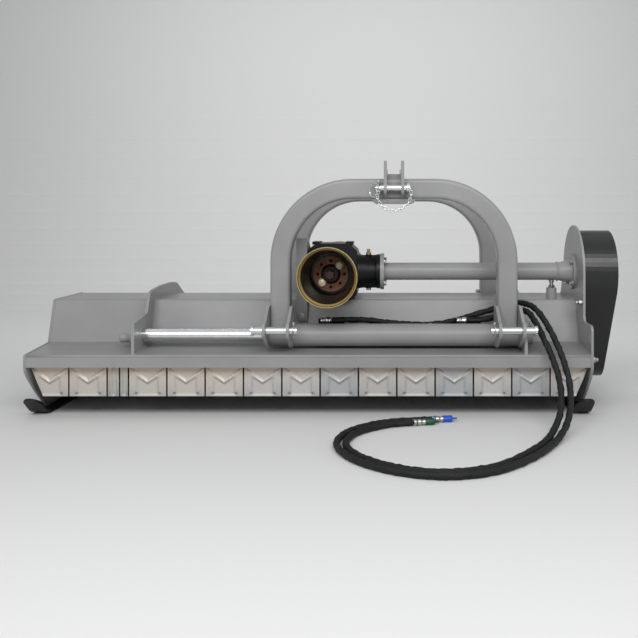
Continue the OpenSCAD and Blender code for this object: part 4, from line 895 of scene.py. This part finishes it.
# turned profiles; the jack nut has six sides
def makeFittings(v):
    low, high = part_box("tube_support")
    at = ((low[0] + high[0]) / 2, (low[1] + high[1]) / 2, 0.0)
    nut = turned(v["jackNut"], at, (0, 0, 1), v["nutSides"])
    bolt = turned(v["jackBolt"], at, (0, 0, 1), v["boltSides"])
    points, faces = joined([nut, bolt])
    plated = finishes["plated_steel"]
    makePiece("jackBolt", points, faces, plated, "deck", weld=True, smooth=False)
    points, faces = joined([turned(v["stud"], place, axis, v["studSides"]) for place, axis in v["studsAt"]])
    makePiece("plateStuds", points, faces, plated, "deck", weld=True)
    points, faces = turned(v["railEnd"], v["railEndAt"], (1, 0, 0), v["railSides"])
    makePiece("railEnd", points, faces, finishes["grey_paint"], "deck", weld=True)


makeFittings(fittings)
print("fittings set")

# skids: runners with an upturned paddle whose corners are rounded, the inner one more
skid = {
    "outer": (-1.1685, 1.0735),
    "wide": 0.072,
    "thick": 0.010,
    "flat": 0.300,
    "bend": 0.120,
    "rise": 38,  # degrees
    "tip": 0.075,
    "rounds": (0.024, 0.044),
    "edge": 0.0016,
}


# how much a corner of radius r takes off the width at a distance e from the tip: r - sqrt(r^2 - (r - e)^2)
def cornerInset(e, r):
    return r - np.sqrt(r * r - np.clip(r - e, 0, r) ** 2)


# a strip on the line flat, arc, straight tip; its section is a rectangle with small chamfers
def skidStrip(outer, inward, v):
    rise = math.radians(v["rise"])
    a = np.linspace(0, rise, 14)
    t = v["tip"] * np.sin(np.linspace(0, np.pi / 2, 36))[1:]
    foot = (-v["flat"] - v["bend"] * math.sin(rise), v["bend"] * (1 - math.cos(rise)))
    y = np.concatenate([[v["flat"], 0], -v["flat"] - v["bend"] * np.sin(a), foot[0] - t * math.cos(rise)])
    z = np.concatenate([[0, 0], v["bend"] * (1 - np.cos(a)), foot[1] + t * math.sin(rise)])
    lean = np.concatenate([[0, 0], a, t * 0 + rise])[:, None]
    left = np.concatenate([np.full(2 + len(a), 1.0), v["tip"] - t]) + 1e-4  # to the tip; 1 is far from it
    x0, x1 = cornerInset(left, v["rounds"][0]), v["wide"] - cornerInset(left, v["rounds"][1])
    e, h = v["edge"], v["thick"]
    across = np.stack([x0 + e, x1 - e, x1, x1, x1 - e, x0 + e, x0, x0], 1)
    up = np.array([0, 0, e, h - e, h, h, h - e, e])
    sides = len(up)
    points = np.stack([
        outer + inward * across, y[:, None] + up * np.sin(lean), z[:, None] + up * np.cos(lean),
    ], -1).reshape(-1, 3)
    n = len(points)
    faces = gridFaces(len(y), sides).tolist() + [list(range(sides)), list(range(n - sides, n))]
    return points, faces


# one strip at each side, its tip's larger round inwards
def makeSkids(v):
    left, right = v["outer"]
    points, faces = joined([skidStrip(left, 1, v), skidStrip(right, -1, v)])
    black = finishes["black_paint"]
    piece = makePiece("skidPaddles", points, faces, black, "deck", smooth=False)
    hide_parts("skids")


makeSkids(skid)
print("skids bent")

# chain of the top pin: oval links on a round loop, every second one turned, and the ring of its lynch pin
chain = {
    "top": (0.2855, -0.4225, 0.9050),
    "half": 0.062,
    "sag": 0.092,
    "links": 18,
    "wire": 0.0018,
    "wireSides": 8,
    "link": 0.0048,
    "play": 0.0008,
    "ring": (0.2095, -0.4010, 0.8935),
    "ringSize": 0.028,
    "ringTurn": 43,  # degrees
    "start": (0.2, 0.5, 0.8),  # no wire runs along this, so every ring of a tube has a frame
}


# the loop is a circle through both ends and the lowest point, its radius (half^2 + sag^2) / (2 sag); each
# link is a ring stretched along the loop
def makeChain(v):
    size = (v["half"] ** 2 + v["sag"] ** 2) / (2 * v["sag"])
    a = (math.pi - math.asin(v["half"] / size)) * np.linspace(-1, 1, v["links"] + 1)
    loop = np.array(v["top"]) + np.stack([size * np.sin(a), 0 * a, size * (1 - np.cos(a)) - v["sag"]], 1)
    t = np.linspace(0, 2 * np.pi, 33)[:, None]
    cos, sin = np.cos(t), np.sin(t)
    paths = []
    for k, (p, q) in enumerate(zip(loop, loop[1:])):
        long = np.linalg.norm(q - p)
        way = (q - p) / long
        side = np.array([0.0, 1.0, 0.0]) if k % 2 else np.cross(way, (0.0, 1.0, 0.0))
        stretch = long / 2 + v["wire"] - v["link"] + v["play"]
        paths.append((p + q) / 2 + way * (v["link"] * cos + stretch * np.sign(cos)) + side * v["link"] * sin)
    turn = math.radians(v["ringTurn"])
    flat = np.array([math.cos(turn), -math.sin(turn), 0.0])
    paths.append(np.array(v["ring"]) + v["ringSize"] * (cos * flat + sin * np.array([0.0, 0.0, 1.0])))
    points, faces = joined([tubeAlong(path, v["wire"], v["wireSides"], start=v["start"]) for path in paths])
    piece = makePiece("pinChain", points, faces, finishes["bright_chrome"], "carriage")
    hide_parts("pin_chain")


makeChain(chain)
print("chain hung")

# weld beads, in metres: along the deck at the ribs and side plates, round the drive tube and at the legs'
# feet; the rounded noses of the deck's folds go with them
welds = {
    "outline": [
        (-0.446, 0.252), (-0.211, 0.268), (-0.154, 0.440), (0.154, 0.440), (0.211, 0.268), (0.446, 0.252),
    ],
    "ribFaces": [-0.7365, -0.7245, 0.7935, 0.8055],
    "ribBead": 0.0030,
    "ribLift": 0.0012,
    "plateSeams": [-1.1475, 1.0525],
    "plateEdge": 0.4465,
    "bandFoot": 0.206,
    "seamBead": 0.0022,
    "pitch": 0.0055,
    "swell": 0.2,
    "beadSides": 7,
    "start": (0.3, 0.2, 0.9),  # no bead runs along this
    "folds": [(-0.4418, 0.2478), (0.4418, 0.2478)],
    "foldRound": 0.0060,
    "foldSides": 20,
    "tubeRings": [(0.0160, 0.0375), (-0.0690, 0.0378), (-0.0125, 0.0500)],  # from either end, radius
    "ringBead": 0.0034,
    "axis": (-0.110, 0.556),
    "legs": [(x, y) for x in (-0.1685, 0.7395) for y in (-0.326, 0.326)],
    "legHalf": 0.0405,
    "footBead": 0.0038,
    "railZ": 0.314,
    "slideRound": 0.0455,
}


# bead: a thin tube on a path, four points to a pitch, its radius swelling as the size of a sine wave does
def bead(path, size, v):
    path = np.asarray(path, float)
    run = runAlong(path)
    at = np.linspace(0, run[-1], max(8, int(run[-1] / v["pitch"] * 4)))
    path = np.stack([np.interp(at, run, path[:, k]) for k in range(3)], 1)
    radius = size * (1 + v["swell"] * np.abs(np.sin(np.pi * at / v["pitch"])))
    return tubeAlong(path, radius, v["beadSides"], start=v["start"])


# the foot of a leg is a square drawn on the sliding tube, so its height follows the tube's round
def makeWelds(v):
    grey = finishes["grey_paint"]
    lines = []
    for x in v["ribFaces"]:
        lines.append(bead([(x, y, z + v["ribLift"]) for y, z in v["outline"]], v["ribBead"], v))
    seam = [(-v["plateEdge"], v["bandFoot"])] + v["outline"] + [(v["plateEdge"], v["bandFoot"])]
    for x in v["plateSeams"]:
        lines.append(bead([(x, y, z) for y, z in seam], v["seamBead"], v))
    t = np.linspace(0, 2 * np.pi, 73)
    axisY, axisZ = v["axis"]
    low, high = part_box("drive_tube")
    for along, size in v["tubeRings"]:
        x = (low[0] if along > 0 else high[0]) + along
        ring = np.stack([x + 0 * t, axisY + size * np.cos(t), axisZ + size * np.sin(t)], 1)
        lines.append(bead(ring, v["ringBead"], v))
    points, faces = joined(lines)
    makePiece("deckWelds", points, faces, grey, "deck")
    h, corner = v["legHalf"], np.linspace(0, 4, 81)
    across = h * np.interp(corner, range(5), (-1, 1, 1, -1, -1))
    out = h * np.interp(corner, range(5), (-1, -1, 1, 1, -1))
    up = v["railZ"] + np.sqrt(v["slideRound"] ** 2 - out**2)
    feet = [bead(np.stack([x + across, y + out, up], 1), v["footBead"], v) for x, y in v["legs"]]
    points, faces = joined(feet)
    makePiece("carriageWelds", points, faces, grey, "carriage")
    x = np.linspace(*v["plateSeams"], 12)
    paths = [np.stack([x, x * 0 + y, x * 0 + z], 1) for y, z in v["folds"]]
    points, faces = joined([tubeAlong(path, v["foldRound"], v["foldSides"]) for path in paths])
    makePiece("deckFolds", points, faces, grey, "deck")


makeWelds(welds)
print("welds laid")

# studio: a pale floor that runs up into a backdrop, a large soft lamp high in front, two weaker ones at the
# sides and one on the backdrop; a lamp has a name, a place, an aim, a size and a power
studio = {
    "floor": rgb(222, 222, 222),
    "rough": 0.7,
    "half": 9.0,
    "back": 3.0,
    "round": 2.0,
    "drop": 0.0005,
    "sky": (0.95, 0.96, 0.97, 1),
    "world": 0.32,
    "mirrored": 0.8,
    "lamps": [
        ("keyLamp", (0.2, -3.7, 2.7), (0.1, -0.1, 0.35), (4.6, 1.6), 146),
        ("leftLamp", (-3.8, -2.0, 1.8), (0.0, 0.0, 0.5), (2.4, 2.0), 6),
        ("rightLamp", (3.8, -1.2, 1.8), (0.3, 0.0, 0.5), (2.2, 2.0), 8),
        ("backdropLamp", (0.0, 1.6, 3.2), (0.0, 4.6, 0.9), (5.0, 1.0), 60),
    ],
}


# floor and backdrop in one sheet: flat to the back, then a quarter circle and a wall
def makeStudio(v):
    half, back, r = v["half"], v["back"], v["round"]
    bend = np.linspace(0, np.pi / 2, 16)
    y = np.concatenate([[-half, back], back + r * np.sin(bend), [back + r]])
    z = np.concatenate([[0.0, 0.0], r - r * np.cos(bend), [half]]) - v["drop"]
    x = np.linspace(-half, half, 3)
    points = np.stack(np.broadcast_arrays(x[None], y[:, None], z[:, None]), -1).reshape(-1, 3)
    mesh = bpy.data.meshes.new("floor")
    mesh.from_pydata(points.tolist(), [], gridFaces(len(y), len(x), loopCols=False).tolist())
    floor = bpy.data.objects.new("floor", mesh)
    scene.collection.objects.link(floor)
    material = bpy.data.materials.new("paleFloor")
    material.use_nodes = True
    shader = material.node_tree.nodes["Principled BSDF"]
    shader.inputs["Base Color"].default_value = v["floor"]
    shader.inputs["Roughness"].default_value = v["rough"]
    mesh.materials.append(material)
    for name, place, aim, size, power in v["lamps"]:
        data = bpy.data.lights.new(name, "AREA")
        data.shape = "RECTANGLE"
        data.size, data.size_y = size
        data.energy = power
        lamp = bpy.data.objects.new(name, data)
        lamp.location = place
        way = np.asarray(aim) - np.asarray(place)
        tilt = math.acos(-way[2] / np.linalg.norm(way))
        lamp.rotation_euler = (tilt, 0, math.atan2(way[1], way[0]) - math.pi / 2)
        scene.collection.objects.link(lamp)
    world = bpy.data.worlds.new("softRoom")
    scene.world = world
    world.use_nodes = True
    tree = world.node_tree
    sky = tree.nodes["Background"]
    sky.inputs["Color"].default_value = v["sky"]
    # what is seen or mirrored is pale, what lights is dimmer
    rays = addNode(tree, "ShaderNodeLightPath").outputs
    seen = maths(tree, "MAXIMUM", rays["Is Camera Ray"], rays["Is Glossy Ray"])
    seen = maths(tree, "MAXIMUM", seen, rays["Is Transmission Ray"])
    tree.links.new(ranged(tree, seen, 0, 1, v["world"], v["mirrored"]), sky.inputs["Strength"])


makeStudio(studio)
print("studio ready")
